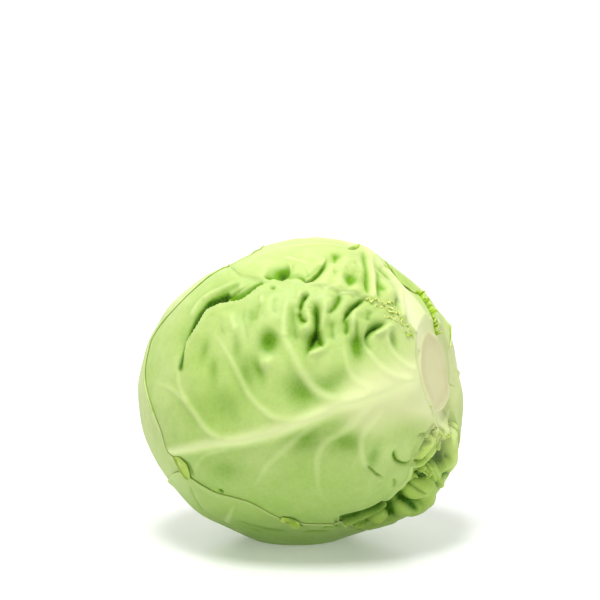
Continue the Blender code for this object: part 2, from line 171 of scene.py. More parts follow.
SIDES, ROWS = 132, 96
bpy.ops.mesh.primitive_uv_sphere_add(segments=SIDES, ring_count=ROWS, radius=1)
heart = bpy.context.object
heart.name = "cut_stem_and_heart"
unit = get_places(heart)
row = np.round(np.degrees(np.arccos(np.clip(unit[:, 2], -1, 1))) / 180 * ROWS).astype(int)
phi = np.arctan2(unit[:, 1], unit[:, 0])
ring = np.cos(phi)[:, None] * FRONT + np.sin(phi)[:, None] * OVER
FACE_ROWS, RIM_ROWS, WALL_ROWS = 16, 8, 6
FACE_RADIUS, FACE_HEIGHT = 20.4, 77.4
reach_points = [0, 17.5, 19.6, FACE_RADIUS, 21.2, 22.0, 22.5, 22.6, 22.6]
height_points = [FACE_HEIGHT - 0.9, FACE_HEIGHT - 0.3, FACE_HEIGHT, FACE_HEIGHT - 0.1,
                 FACE_HEIGHT - 0.3, FACE_HEIGHT - 0.8, FACE_HEIGHT - 1.6, FACE_HEIGHT - 4, 70.0]
step_points = [0, 11, 14, 16, 18, 20, 22, 24, 30]
stump_reach = np.interp(row, step_points, reach_points)
stump_height = np.interp(row, step_points, height_points)
wobble = 1 + 0.025 * np.sin(2 * phi + 0.6) + 0.03 * np.sin(5 * phi + 1) + 0.012 * np.sin(9 * phi)
facets = 0.5 * np.sin(3 * phi + 2.0) + 0.35 * np.sin(7 * phi)
stump = HEAD_CENTRE + STEM * (stump_height + facets * np.clip((row - 12) / 8, 0, 1) * (row < 27)
                              )[:, None] + ring * (stump_reach * wobble)[:, None]
theta = np.radians(np.interp(row, [30, 96], [15.5, 180]))
way = np.cos(theta)[:, None] * STEM + np.sin(theta)[:, None] * ring
radius = above_ground(way, head_radius(way) - 9.5 + soft_bumps(way, 5, 120, 9, 1.0), 7.0)
packed = HEAD_CENTRE + way * radius[:, None]
set_places(heart, np.where((row <= 30)[:, None], stump, packed) * 1.0)
paint(heart, "cut", np.clip((17 - row) / 5.0, 0, 1) * (row <= 30))
paint(heart, "ring", np.clip(stump_reach / FACE_RADIUS, 0, 1.4))
paint(heart, "inner", np.clip((row - 28) / 4, 0, 1))
bpy.ops.object.select_all(action="DESELECT")
heart.select_set(True)
bpy.context.view_layer.objects.active = heart
bpy.ops.object.mode_set(mode="EDIT")
bpy.ops.mesh.select_all(action="SELECT")
bpy.ops.mesh.normals_make_consistent(inside=False)
bpy.ops.object.mode_set(mode="OBJECT")
bpy.ops.object.shade_smooth()


def seen(spots):
    """Directions from the head's centre to what shows at (x, y) in the 600 px frame."""
    spots = np.atleast_2d(np.asarray(spots, float))
    scale = FRAME_WIDTH / FRAME_SIDE
    aimed = (AIM + TO_RIGHT * ((spots[:, :1] - FRAME_SIDE / 2) * scale)
             + TO_TOP * ((FRAME_SIDE / 2 - spots[:, 1:]) * scale))
    ray = aimed - EYE
    ray /= np.linalg.norm(ray, axis=1)[:, None]
    out = []
    for one in ray:
        steps = EYE + one * np.arange(860.0, 1010.0, 0.25)[:, None] - HEAD_CENTRE
        far = np.linalg.norm(steps, axis=1)
        gap = far - head_radius(steps / far[:, None])
        inside = np.flatnonzero(gap <= 0)
        best = inside[0] if len(inside) else int(np.argmin(gap))
        out.append(steps[best] / far[best])
    return np.array(out)


class Shades:
    """Short-hand for building one material's nodes."""

    def __init__(self, name, roughness):
        self.material = bpy.data.materials.new(name)
        self.material.use_nodes = True
        self.tree = self.material.node_tree
        self.shader = self.tree.nodes["Principled BSDF"]
        self.shader.inputs["Roughness"].default_value = roughness
        self.object = self.add("ShaderNodeTexCoord").outputs["Object"]

    def add(self, kind, **inputs):
        node = self.tree.nodes.new(kind)
        for key, value in inputs.items():
            self.put(node, key.replace("_", " "), value)
        return node

    def put(self, node, key, value):
        socket = node.inputs[int(key[1:])] if key[0] == "i" and key[1:].isdigit() else node.inputs[key]
        if isinstance(value, bpy.types.NodeSocket):
            self.tree.links.new(value, socket)
        else:
            socket.default_value = value

    def attribute(self, name):
        node = self.add("ShaderNodeAttribute")
        node.attribute_name = name
        return node.outputs["Fac"]

    def noise(self, scale, detail=3, roughness=0.5, distortion=0.0):
        node = self.add("ShaderNodeTexNoise", Vector=self.object, Scale=scale, Detail=detail,
                        Roughness=roughness, Distortion=distortion)
        return node.outputs["Fac"]

    def remap(self, value, low, high, to_low=0.0, to_high=1.0):
        node = self.add("ShaderNodeMapRange", Value=value)
        node.inputs["From Min"].default_value = low
        node.inputs["From Max"].default_value = high
        node.inputs["To Min"].default_value = to_low
        node.inputs["To Max"].default_value = to_high
        return node.outputs["Result"]

    def maths(self, what, a, b):
        node = self.add("ShaderNodeMath", i0=a, i1=b)
        node.operation = what
        node.use_clamp = what != "MULTIPLY_ADD"
        return node.outputs[0]

    def mix(self, amount, a, b):
        node = self.tree.nodes.new("ShaderNodeMix")
        node.data_type = "RGBA"
        self.put(node, "i0", amount)
        for place, value in (("i6", a), ("i7", b)):
            self.put(node, place, value)
        return node.outputs[2]

    def bump(self, height, strength, distance, normal=None):
        node = self.add("ShaderNodeBump", Strength=strength, Distance=distance, Height=height)
        if normal is not None:
            self.put(node, "Normal", normal)
        return node.outputs["Normal"]

    def connect(self, key, value):
        self.tree.links.new(value, self.shader.inputs[key])


def rgb(red, green, blue):
    """Linear colour from 0 to 255 display values."""
    def linear(c):
        c /= 255
        return c / 12.92 if c <= 0.04045 else ((c + 0.055) / 1.055) ** 2.4
    return (linear(red), linear(green), linear(blue), 1.0)


stem_shades = Shades("cut_stem", 0.62)
grain = stem_shades.noise(420, 4, 0.6)
blotch = stem_shades.noise(90, 3, 0.6)
ring_place = stem_shades.attribute("ring")
face_colour = stem_shades.mix(stem_shades.remap(ring_place, 0.55, 0.95),
                              rgb(214, 212, 158), rgb(205, 200, 146))
face_colour = stem_shades.mix(stem_shades.remap(blotch, 0.45, 0.75, 0, 0.5), face_colour,
                              rgb(220, 218, 172))
rim_colour = stem_shades.mix(stem_shades.remap(blotch, 0.4, 0.7, 0, 0.6), rgb(222, 226, 168),
                             rgb(212, 214, 156))
stem_colour = stem_shades.mix(stem_shades.attribute("cut"), rim_colour, face_colour)
stem_colour = stem_shades.mix(stem_shades.attribute("inner"), stem_colour, rgb(150, 180, 80))
stem_shades.connect("Base Color", stem_colour)
stem_shades.connect("Normal", stem_shades.bump(grain, 0.35, 0.0006))
stem_shades.shader.inputs["Subsurface Weight"].default_value = 0.15
stem_shades.shader.inputs["Subsurface Radius"].default_value = (1.0, 0.8, 0.4)
stem_shades.shader.inputs["Subsurface Scale"].default_value = 0.003
heart.data.materials.append(stem_shades.material)
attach(heart, "root")
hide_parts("heart")

# ---
# Crumpled under leaf. An old soft leaf whose blade is crushed into deep folds at the
# lower right, where it shows beside the front leaf. All leaves are one thin blade with
# ribs, laid over what is beneath them, and the ways of shaping one are made here.
BLADE = 0.75
LEAF_GAP = 0.4
COLLAR = 1.9


class Chart:
    """Flat map of directions round one centre, in degrees, y pointing off the stem."""

    def __init__(self, theta, phi):
        t, p = math.radians(theta), math.radians(phi)
        ring = math.cos(p) * FRONT + math.sin(p) * OVER
        self.centre = polar(theta, phi)
        self.x = -math.sin(p) * FRONT + math.cos(p) * OVER
        self.y = -math.sin(t) * STEM + math.cos(t) * ring

    def directions(self, xy):
        reach = np.hypot(xy[:, 0], xy[:, 1])
        angle = np.radians(reach)
        unit = xy / np.maximum(reach, 1e-9)[:, None]
        side = unit[:, :1] * self.x + unit[:, 1:] * self.y
        return np.cos(angle)[:, None] * self.centre + np.sin(angle)[:, None] * side

    def flatten(self, d):
        across = np.stack((d @ self.x, d @ self.y), 1)
        length = np.maximum(np.hypot(across[:, 0], across[:, 1]), 1e-9)
        reach = np.degrees(np.arctan2(length, d @ self.centre))
        return across / length[:, None] * reach[:, None]

    def points(self, places):
        """Chart points of (theta, phi) places."""
        return self.flatten(np.array([polar(*place) for place in places]))

    def at(self, *spots):
        """Chart points of what shows at (x, y) in the frame."""
        return self.flatten(seen(spots))


def smooth_path(path, pieces=6):
    """The same route with its corners rounded."""
    path = np.asarray(path, float)
    if len(path) < 3:
        return path
    ends = np.vstack((2 * path[0] - path[1], path, 2 * path[-1] - path[-2]))
    out = []
    for k in range(1, len(ends) - 2):
        a, b, c, e = ends[k - 1:k + 3]
        for t in np.arange(pieces) / pieces:
            out.append(0.5 * (2 * b + (c - a) * t + (2 * a - 5 * b + 4 * c - e) * t * t
                              + (3 * b - a - 3 * c + e) * t ** 3))
    return np.array(out + [path[-1]])


def along(points, path):
    """Nearest distance to a path, the side it is on, how far along, and its direction."""
    steps = path[1:] - path[:-1]
    lengths = np.maximum(np.hypot(steps[:, 0], steps[:, 1]), 1e-6)
    starts = np.concatenate(((0,), np.cumsum(lengths)))
    best = np.full(len(points), 1e9)
    hand = np.ones(len(points))
    part = np.zeros(len(points))
    course = np.zeros((len(points), 2))
    for k, step in enumerate(steps):
        rel = points - path[k]
        t = np.clip(rel @ step / lengths[k] ** 2, 0, 1)
        off = rel - t[:, None] * step
        dist = np.hypot(off[:, 0], off[:, 1])
        near = dist < best
        best[near] = dist[near]
        cross = step[0] * rel[:, 1] - step[1] * rel[:, 0]
        hand[near] = np.where(cross[near] >= 0, 1, -1)
        part[near] = ((starts[k] + t * lengths[k]) / starts[-1])[near]
        course[near] = step / lengths[k]
    return best, hand, part, course


def ease(value):
    value = np.clip(value, 0, 1)
    return value * value * (3 - 2 * value)


def margin_reach(outline, psi, waves=0.0, seed=0, counts=(9, 14, 23, 41)):
    """Chart distance to a leaf's margin at angles psi."""
    outline = np.asarray(outline, float)
    angle = np.degrees(np.arctan2(outline[:, 1], outline[:, 0])) % 360
    reach = np.hypot(outline[:, 0], outline[:, 1])
    order = np.argsort(angle)
    grid = np.arange(0.0, 360.0, 0.5)
    smooth = np.interp(grid, angle[order], reach[order], period=360)
    kernel = np.exp(-(np.arange(-12, 13) / 4.0) ** 2)
    wrapped = np.concatenate((smooth[-12:], smooth, smooth[:12]))
    smooth = np.convolve(wrapped, kernel / kernel.sum(), "valid")
    rng = np.random.default_rng(seed)
    for count in counts:
        smooth = smooth + waves * rng.uniform(0.4, 1) * (9 / count) ** 0.5 * np.sin(
            np.radians(grid) * count + rng.uniform(0, 6.28))
    return np.interp(psi % 360, grid, smooth, period=360)


# The stump is left out of what the leaves lie on, because their bases grow into it.
heart.data.calc_loop_triangles()
heart_faces = np.array([tuple(t.vertices) for t in heart.data.loop_triangles])
laid_vertices = [get_places(heart) * 1000]
laid_faces = [heart_faces[(row[heart_faces] >= 33).all(1)]]


laid_trees = {}


def laid_tree():
    """Everything laid so far, for measuring from the head's centre."""
    if len(laid_faces) in laid_trees:
        return laid_trees[len(laid_faces)]
    shifts = np.cumsum([0] + [len(v) for v in laid_vertices[:-1]])
    laid_trees[len(laid_faces)] = BVHTree.FromPolygons(
        [Vector(p) for p in np.vstack(laid_vertices)],
        [tuple(f) for f in np.vstack([f + s for f, s in zip(laid_faces, shifts)])])
    return laid_trees[len(laid_faces)]


def beneath(tree, d):
    """How far out the outermost laid surface is in each direction."""
    far = np.zeros(len(d))
    start = Vector(HEAD_CENTRE)
    for k, one in enumerate(d):
        way = Vector(one)
        hit = tree.ray_cast(start + way * 200, -way)
        if hit[0] is not None:
            far[k] = 200 - hit[3]
    return far


def spread(grid, times):
    """Largest value over the neighbouring cells."""
    for _ in range(times):
        wide = np.pad(grid, 1, mode="edge")
        grid = np.maximum.reduce([wide[1:-1, 1:-1], wide[:-2, 1:-1], wide[2:, 1:-1],
                                  wide[1:-1, :-2], wide[1:-1, 2:]])
    return grid


def soften(grid, times):
    for _ in range(times):
        wide = np.pad(grid, 1, mode="edge")
        grid = (wide[1:-1, 1:-1] * 2 + wide[:-2, 1:-1] + wide[2:, 1:-1]
                + wide[1:-1, :-2] + wide[1:-1, 2:]) / 6
    return grid


class Leaf:
    """One leaf: a grid over its chart, shaped by ribs, folds and hollows, then laid."""

    def __init__(self, name, chart, outline, cells, waves, seed, focus=()):
        bpy.ops.object.select_all(action="DESELECT")
        bpy.ops.mesh.primitive_grid_add(x_subdivisions=cells, y_subdivisions=cells, size=2)
        self.object = bpy.context.object
        self.object.name = name
        self.object.data.name = name
        flat = get_places(self.object)
        self.index = np.empty((cells + 1, cells + 1), int)
        place = np.round((flat[:, :2] + 1) / 2 * cells).astype(int)
        self.index[place[:, 0], place[:, 1]] = np.arange(len(flat))
        u, v = flat[:, 0], flat[:, 1]
        x, y = u * np.sqrt(1 - v * v / 2), v * np.sqrt(1 - u * u / 2)
        disc = np.stack((x, y), 1)
        # The grid is drawn together round each focus, where the leaf has fine folds.
        for spot, size, pull in focus:
            spot = np.asarray(spot, float).reshape(2)
            turn = np.degrees(np.arctan2(spot[1:], spot[:1]))
            off = disc - spot / margin_reach(outline, turn, waves, seed)
            bell = pull * np.exp(-(off ** 2).sum(1) / size ** 2) * (1 - (disc ** 2).sum(1) ** 3)
            disc = disc - off * bell[:, None]
        self.share = np.hypot(disc[:, 0], disc[:, 1])
        self.psi = np.degrees(np.arctan2(disc[:, 1], disc[:, 0]))
        self.chart, self.outline = chart, np.asarray(outline, float)
        self.reach = margin_reach(outline, self.psi, waves, seed)
        self.points = disc * self.reach[:, None]
        self.d = chart.directions(self.points)
        self.inset = self.reach * (1 - self.share)
        self.height = np.zeros(len(flat))
        self.shift = np.zeros((len(flat), 2))
        self.vein = np.zeros(len(flat))
        self.painted_shade = np.zeros(len(flat))
        self.pale = np.zeros(len(flat))
        self.painted_highlight = np.zeros(len(flat))
        self.frills = []

    def place(self, *places):
        return self.chart.points(places)

    def at(self, *spots):
        return self.chart.at(*spots)

    def rib(self, path, width, height, end_width=None, end_height=None, show=0.6,
            trough=0.2, flank=1.0, end_show=0.35, start=0.12):
        """Raised vein, tapering along its path. flank widens one side of it."""
        dist, hand, part, _ = along(self.points, smooth_path(path))
        wide = width + ((0.45 * width if end_width is None else end_width) - width) * part
        high = height + ((0.2 * height if end_height is None else end_height) - height) * part
        wide = np.where(hand < 0, wide * flank, wide)
        q = dist / wide
        last = ease((1 - part) / 0.3) if end_height is None else 1.0
        last = last * ease(0.25 + part / max(start, 1e-3))
        self.height += high * last * (np.exp(-q ** 2)
                                      - trough * np.exp(-((q - 2.0) / 0.9) ** 2))
        mask = show * last * np.exp(-(dist / (wide / np.where(hand < 0, flank, 1.0))
                                      / 0.85) ** 2) * (1 + (end_show - 1) * part)
        self.vein = np.maximum(self.vein, mask)

    def hollow(self, spot, size, depth, turn=0.0, shade_weight=1.0, power=1.0):
        """Rounded hollow with painted shade in it, or a swelling where depth is negative."""
        rel = self.points - np.asarray(spot, float).reshape(2)
        c, s = math.cos(math.radians(turn)), math.sin(math.radians(turn))
        u = (rel[:, 0] * c + rel[:, 1] * s) / size[0]
        v = (-rel[:, 0] * s + rel[:, 1] * c) / size[1]
        bell = np.exp(-(u * u + v * v) ** power)
        self.height -= depth * bell
        self.painted_shade += shade_weight * max(depth, 0) * bell / 2.6

    def fold(self, path, width, ridge, groove, lean=0.0, side=1, wide=(2.2, 1.6), ends=(0.3, 0.3),
             shade_weight=1.0):
        """Lip that leans over the crease beside it, with painted shade in the crease. side is the hand the
        lip is on.
        """
        dist, hand, part, course = along(self.points, smooth_path(path))
        across = dist * hand * side
        fade = ease(part / ends[0]) * ease((1 - part) / ends[1])
        step = ease((across / (0.5 * width) + 1) / 2)
        up = ridge * np.exp(-(np.maximum(across - 0.5 * width, 0) / (wide[0] * width)) ** 2)
        down = groove * np.exp(-(np.maximum(-across, 0) / (wide[1] * width)) ** 1.3)
        self.height += fade * (step * up - (1 - step) * down)
        near = np.exp(-(np.maximum(-across, 0) / (0.9 * width)) ** 1.5) * (
            across < 0.3 * width)
        self.painted_shade += shade_weight * fade * near * min(groove / 2.6, 1)
        # Painted highlight along the lip's crest.
        self.painted_highlight += 0.5 * fade * step * np.exp(-((across - 0.5 * width) / (0.8 * width)) ** 2)
        over = np.stack((course[:, 1], -course[:, 0]), 1) * side
        push = lean * fade * step * np.exp(-(np.maximum(across - 0.4 * width, 0) / width) ** 2)
        self.shift += over * push[:, None]

    def crease(self, path, width, depth, ends=(0.2, 0.2), shade_weight=1.0, steep=0):
        """Sharp valley with painted shade in it. Width and depth may be lists, spread evenly along the path.
        """
        dist, hand, part, _ = along(self.points, smooth_path(path))
        wide = np.interp(part, np.linspace(0, 1, np.size(width)), np.atleast_1d(width))
        deep = np.interp(part, np.linspace(0, 1, np.size(depth)), np.atleast_1d(depth))
        fade = ease(part / ends[0]) * ease((1 - part) / ends[1])
        wide = wide * np.where(hand * steep > 0, 0.5, 1.0)
        self.height -= deep * fade * (0.5 * np.exp(-(dist / (0.8 * wide)) ** 1.2)
                                      + 0.5 * np.exp(-(dist / (3.2 * wide)) ** 2))
        self.painted_shade += shade_weight * fade * np.minimum(deep / 3.2, 1) ** 1.5 * (
            0.55 * np.exp(-(dist / (0.8 * wide)) ** 1.5) + 0.4 * np.exp(-(dist / (2.4 * wide)) ** 2))

    def lobe(self, path, width, height, base=-2.0):
        """Rounded swelling that meets its neighbours in sharp valleys."""
        dist, _, _, _ = along(self.points, smooth_path(path))
        dome = np.clip(1 - (dist / width) ** 2, 0, 1) ** 0.6
        self.height = np.maximum(self.height, base + (height - base) * dome)

    def bumps(self, seed, count, reach, height, where=1.0):
        self.height += soft_bumps(self.d, seed, count, reach, height) * where

    def near(self, spot, reach, power=2):
        """1 near a chart point, fading to 0 past reach."""
        rel = self.points - np.asarray(spot, float).reshape(2)
        return np.exp(-(np.hypot(rel[:, 0], rel[:, 1]) / reach) ** power)

    def beside(self, path, reach, power=4):
        """1 along a path, fading to 0 past reach."""
        dist, _, _, _ = along(self.points, smooth_path(path))
        return np.exp(-(dist / reach) ** power)

    def ruffle(self, where, band, height, wave, lift=0.0, seed=0, sway=0.0):
        """Waves that grow towards the margin."""
        rng = np.random.default_rng(seed)
        run = np.radians(self.psi) * self.reach
        grow = np.clip(1 - self.inset / band, 0, 1) ** 1.5 * where
        total = np.zeros(len(run))
        sideways = np.zeros(len(run))
        for factor, size in ((1.0, 1.0), (1.63, 0.55), (2.7, 0.3)):
            phase = rng.uniform(0, 6.28)
            wobble = 0.8 * np.sin(run / (wave * 3.1) + rng.uniform(0, 6.28))
            total += size * np.sin(run * 2 * math.pi * factor / wave + phase + wobble)
            sideways += size * np.cos(run * 2 * math.pi * factor / wave + phase + wobble)
        self.height += grow * (height * total + lift)
        out = self.points / np.maximum(np.hypot(*self.points.T), 1e-6)[:, None]
        self.shift += out * (grow * sway * sideways)[:, None]

    def lay(self, covers=(), room=0.0, sink=1.4, drape=1, hug=0.75):
        """Settle the leaf over everything laid before it."""
        depth = np.zeros(len(self.d))
        for chart, outline in covers:
            flat = chart.flatten(self.d)
            far = np.hypot(flat[:, 0], flat[:, 1])
            inside = margin_reach(outline, np.degrees(np.arctan2(flat[:, 1], flat[:, 0]))) - far
            depth += ease((inside + 0.6) / 5)
        hidden = np.minimum(depth, 1)
        off_stem = np.degrees(np.arccos(np.clip(self.d @ STEM, -1, 1)))
        base = np.exp(-(np.maximum(off_stem - 12, 0) / 6) ** 2)
        d = self.chart.directions(self.points + self.shift * (1 - hidden)[:, None])
        outer = (head_radius(d) + self.height * (1 - 0.85 * hidden) * (1 - base)
                 - sink * depth * (1 - 0.8 * base) + COLLAR * base)
        outer = above_ground(d, outer, room)
        under = beneath(laid_tree(), d)
        grid = soften(spread(under[self.index], drape), drape)
        least = np.empty(len(d))
        least[self.index] = np.maximum(grid, under[self.index])
        least += BLADE + LEAF_GAP
        blend = 0.8
        gap = outer - least
        outer = np.where(gap > blend, outer, np.where(
            gap < -blend, least, least + (gap + blend) ** 2 / (4 * blend)))
        close = hug * np.exp(-(self.inset / 2.2) ** 2) * (under > 0)
        outer = outer + (np.minimum(outer, under + BLADE + 0.15) - outer) * close
        axial = np.clip(d @ STEM, 0.3, 1)
        notch = np.degrees(np.arccos(np.clip(self.d @ polar(22, -126), -1, 1)))
        flush = (76.9 - 0.1 * len(laid_faces) + 1.2 * np.maximum(off_stem - 19.5, 0)
                 - 3.4 * np.exp(-(notch / 9) ** 2)) / axial
        outer = np.where(off_stem < 27, np.minimum(outer, flush), outer)
        outer = above_ground(d, outer, room)
        places = HEAD_CENTRE + d * outer[:, None]
        places[np.abs(places[:, 2]) < 1e-5, 2] = 0.0
        set_places(self.object, places)
        mesh = self.object.data
        if mesh.polygons[0].normal @ Vector(d[mesh.polygons[0].vertices[0]]) < 0:
            mesh.flip_normals()
        mesh.calc_loop_triangles()
        tris = np.empty(len(mesh.loop_triangles) * 3, np.int32)
        mesh.loop_triangles.foreach_get("vertices", tris)
        laid_vertices.append(places)
        laid_faces.append(tris.reshape(-1, 3))
        # Colour data for the material: painted shade in folds, concave spots and where the blade lies low;
        # painted light on ridges, convex spots and lips.
        lift = self.height * (1 - hidden)
        paint(self.object, "vein", np.clip(self.vein, 0, 1))
        cavity = np.empty(len(d))
        cavity[self.index] = soften(lift[self.index], 24) - lift[self.index]
        paint(self.object, "hollow", np.clip(self.painted_shade + 0.3 * np.maximum(cavity, 0)
                                             - 0.10 * np.minimum(lift, 0.6), 0, 2))
        paint(self.object, "tone_and_painted_light", np.clip(0.14 * lift + 0.5 * np.maximum(-cavity, 0)
                                             + self.painted_highlight, 0, 1))
        paint(self.object, "stemward", np.clip(np.exp(-(np.maximum(off_stem - 10, 0) / 16) ** 2)
                                               * 0.95 + self.pale, 0, 1))
        paint(self.object, "margin", np.clip(1 - self.inset / 1.6, 0, 1))
        paint(self.object, "frill", np.zeros(len(d)))

    def frill(self, spots, height, wave, swing, lean, seed, tone=(0.0, 0.6), dip=0.6):
        """Curly ribbon standing up along a margin that shows at spots in the frame."""
        path = smooth_path(spots, 8)
        way = seen(path)
        far = beneath(laid_tree(), way)
        line = HEAD_CENTRE + way * (far - dip)[:, None]
        steps = np.linalg.norm(np.diff(line, axis=0), axis=1)
        run = np.concatenate(((0,), np.cumsum(steps)))
        count = int(run[-1] / 0.22)
        at = np.linspace(0, run[-1], count)
        line = np.stack([np.interp(at, run, line[:, k]) for k in range(3)], 1)
        up = line - HEAD_CENTRE
        up /= np.linalg.norm(up, axis=1)[:, None]
        ahead = np.gradient(line, axis=0)
        ahead /= np.linalg.norm(ahead, axis=1)[:, None]
        side = np.cross(ahead, up)
        rng = np.random.default_rng(seed)
        turn = at * 2 * math.pi / wave
        tall, loose = np.full(count, 0.72), np.full(count, 0.85)
        for pace in (0.7, 1.3, 2.3, 3.9):
            turn += 1.1 * np.sin(at / wave * pace + rng.uniform(0, 6))
            tall += 0.2 * np.sin(at / wave * pace + rng.uniform(0, 6))
            loose += 0.3 * np.sin(at / wave * pace + rng.uniform(0, 6))
        tall = height * np.clip(tall, 0.5, 1.2)
        tall *= ease(at / 3) * ease((at[-1] - at) / 3) * 0.8 + 0.2
        rows = 7
        bpy.ops.mesh.primitive_grid_add(x_subdivisions=count - 1, y_subdivisions=rows, size=2)
        ribbon = bpy.context.object
        flat = get_places(ribbon)
        k = np.round((flat[:, 0] + 1) / 2 * (count - 1)).astype(int)
        t = (flat[:, 1] + 1) / 2
        grow = t ** 1.2
        places = (line[k] + up[k] * (tall[k] * t * (1 - 0.25 * t))[:, None]
                  + side[k] * (lean * t ** 1.5 + swing * grow * loose[k] * np.sin(turn[k]))[:, None]
                  + ahead[k] * (0.45 * swing * grow * np.cos(turn[k] * 0.5 + t))[:, None])
        set_places(ribbon, places)
        # Tone: low at the base, which is painted shade, rising towards the tip, which is partly the margin's
        # paler colour; the stripes that follow the swing of the curls are painted light and shade.
        self.add_scrap(ribbon, t, tone[0] + (tone[1] - tone[0]) * t + 0.16 * np.sin(turn[k]))

    def flap(self, low, high, rise, bulge, tone=(0.2, 0.8), wrinkle=0.1, seed=0):
        """Small tongue of the blade between two lines that show at spots in the frame."""
        across, over = 40, 20
        edges = []
        for spots in (low, high):
            way = seen(smooth_path(spots, 6))
            run = np.concatenate(((0,), np.cumsum(np.linalg.norm(np.diff(way, axis=0), axis=1))))
            at = np.linspace(0, run[-1], across + 1)
            edges.append(np.stack([np.interp(at, run, way[:, k]) for k in range(3)], 1))
        bpy.ops.mesh.primitive_grid_add(x_subdivisions=across, y_subdivisions=over, size=2)
        tongue = bpy.context.object
        flat = get_places(tongue)
        k = np.round((flat[:, 0] + 1) / 2 * across).astype(int)
        t = (flat[:, 1] + 1) / 2
        way = edges[0][k] * (1 - t)[:, None] + edges[1][k] * t[:, None]
        way /= np.linalg.norm(way, axis=1)[:, None]
        ends = np.sin(np.pi * k / across) ** 0.4
        lift = rise[0] + ends * ((rise[1] - rise[0]) * t + bulge * np.sin(np.pi * t))
        lift += soft_bumps(way, seed, 3000, 1.2, wrinkle * 4) * np.sin(np.pi * t)
        set_places(tongue, HEAD_CENTRE + way * (beneath(laid_tree(), way) + lift)[:, None])
        self.add_scrap(tongue, t, tone[0] + (tone[1] - tone[0]) * t
                       + soft_bumps(way, seed + 1, 3000, 1.0, 0.5), 0.7)

    def add_scrap(self, scrap, t, tone, own=1.0):
        """Skin and colour a small piece that is joined to the blade later."""
        for name, values in (("vein", t * 0), ("hollow", t * 0), ("tone_and_painted_light", np.clip(tone, 0, 1)),
                             ("stemward", t * 0), ("margin", t * 0), ("frill", t * 0 + own)):
            paint(scrap, name, values)
        bpy.ops.object.select_all(action="DESELECT")
        scrap.select_set(True)
        bpy.context.view_layer.objects.active = scrap
        skin = scrap.modifiers.new("blade", "SOLIDIFY")
        skin.thickness = 0.0005
        skin.offset = 0
        bpy.ops.object.modifier_apply(modifier=skin.name)
        self.frills.append(scrap)

    def finish(self, node, shades):
        bpy.ops.object.select_all(action="DESELECT")
        self.object.select_set(True)
        bpy.context.view_layer.objects.active = self.object
        skin = self.object.modifiers.new("blade", "SOLIDIFY")
        skin.thickness = BLADE * 0.001
        skin.offset = -1
        bpy.ops.object.modifier_apply(modifier=skin.name)
        if self.frills:
            for ribbon in self.frills:
                ribbon.select_set(True)
            bpy.ops.object.join()
        self.object.data.materials.append(shades.material)
        bpy.ops.object.shade_smooth()
        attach(self.object, "root")
        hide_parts(node)


def leaf_shades(name, deep, blade, light, vein, stemward, roughness=0.5):
    """Waxy leaf: pale along veins and towards the stem, with painted shade, deeper green, in folds and dents
    and towards the bottom, and painted light on ridges and the upper side.
    """
    s = Shades(name, roughness)
    cloud = s.noise(28, 4, 0.55)
    fine = s.noise(170, 4, 0.6)
    colour = s.mix(s.remap(cloud, 0.3, 0.7), blade, light)
    # Painted light: paler green on ridges, convex spots, fold lips and the upper side.
    colour = s.mix(s.remap(s.attribute("tone_and_painted_light"), 0, 1, 0, 0.6), colour, light)
    # Painted shade: deeper green in folds, creases and dents, near-black green in the deepest folds; specular
    # is lowered there too.
    colour = s.mix(s.remap(s.attribute("hollow"), 0.0, 0.9, 0, 0.95), colour, deep)
    colour = s.mix(s.remap(s.attribute("hollow"), 1.0, 1.8, 0, 0.85), colour, rgb(34, 78, 0))
    colour = s.mix(s.remap(fine, 0.35, 0.75, 0, 0.15), colour, deep)
    # Painted shade: darker green towards the bottom of the head.
    low = s.add("ShaderNodeSeparateXYZ", i0=s.object)
    colour = s.mix(s.remap(low.outputs["Z"], 0.085, 0.0, 0, 0.6), colour, deep)
    colour = s.mix(s.attribute("stemward"), colour, stemward)
    colour = s.mix(s.remap(s.attribute("vein"), 0.05, 0.9, 0, 0.85), colour, vein)
    warp = s.add("ShaderNodeTexNoise", Vector=s.object, Scale=90, Detail=2)
    bent = s.add("ShaderNodeVectorMath", i0=warp.outputs["Color"], i2=s.object)
    bent.operation = "MULTIPLY_ADD"
    bent.inputs[1].default_value = (0.006, 0.006, 0.006)
    cells = s.add("ShaderNodeTexVoronoi", Vector=bent.outputs[0], Scale=300)
    cells.feature = "DISTANCE_TO_EDGE"
    net = s.remap(cells.outputs["Distance"], 0.0, 0.16, 1, 0)
    colour = s.mix(s.maths("MULTIPLY", net, 0.05), colour, vein)
    colour = s.mix(s.remap(s.attribute("margin"), 0.2, 1, 0, 0.4), colour, light)
    # Curls and tongues: dark green at a low tone, which on curls is painted shade at their base, up to pale
    # at a high tone, which is partly their own paler margin and partly painted light.
    curl = s.mix(s.remap(s.attribute("tone_and_painted_light"), 0.0, 0.5), rgb(92, 128, 8), rgb(162, 196, 52))
    curl = s.mix(s.remap(s.attribute("tone_and_painted_light"), 0.5, 1.0), curl, rgb(224, 236, 140))
    colour = s.mix(s.attribute("frill"), colour, curl)
    s.connect("Base Color", colour)
    rough = s.bump(s.noise(55, 3, 0.5), 0.3, 0.0012)
    rough = s.bump(net, 0.08, 0.0003, rough)
    s.connect("Normal", s.bump(fine, 0.2, 0.0004, rough))
    s.shader.inputs["Subsurface Weight"].default_value = 0.25
    s.shader.inputs["Subsurface Radius"].default_value = (0.7, 1.0, 0.2)
    s.shader.inputs["Subsurface Scale"].default_value = 0.003
    s.connect("Specular IOR Level", s.remap(s.attribute("hollow"), 0, 1, 0.28, 0.05))
    return s


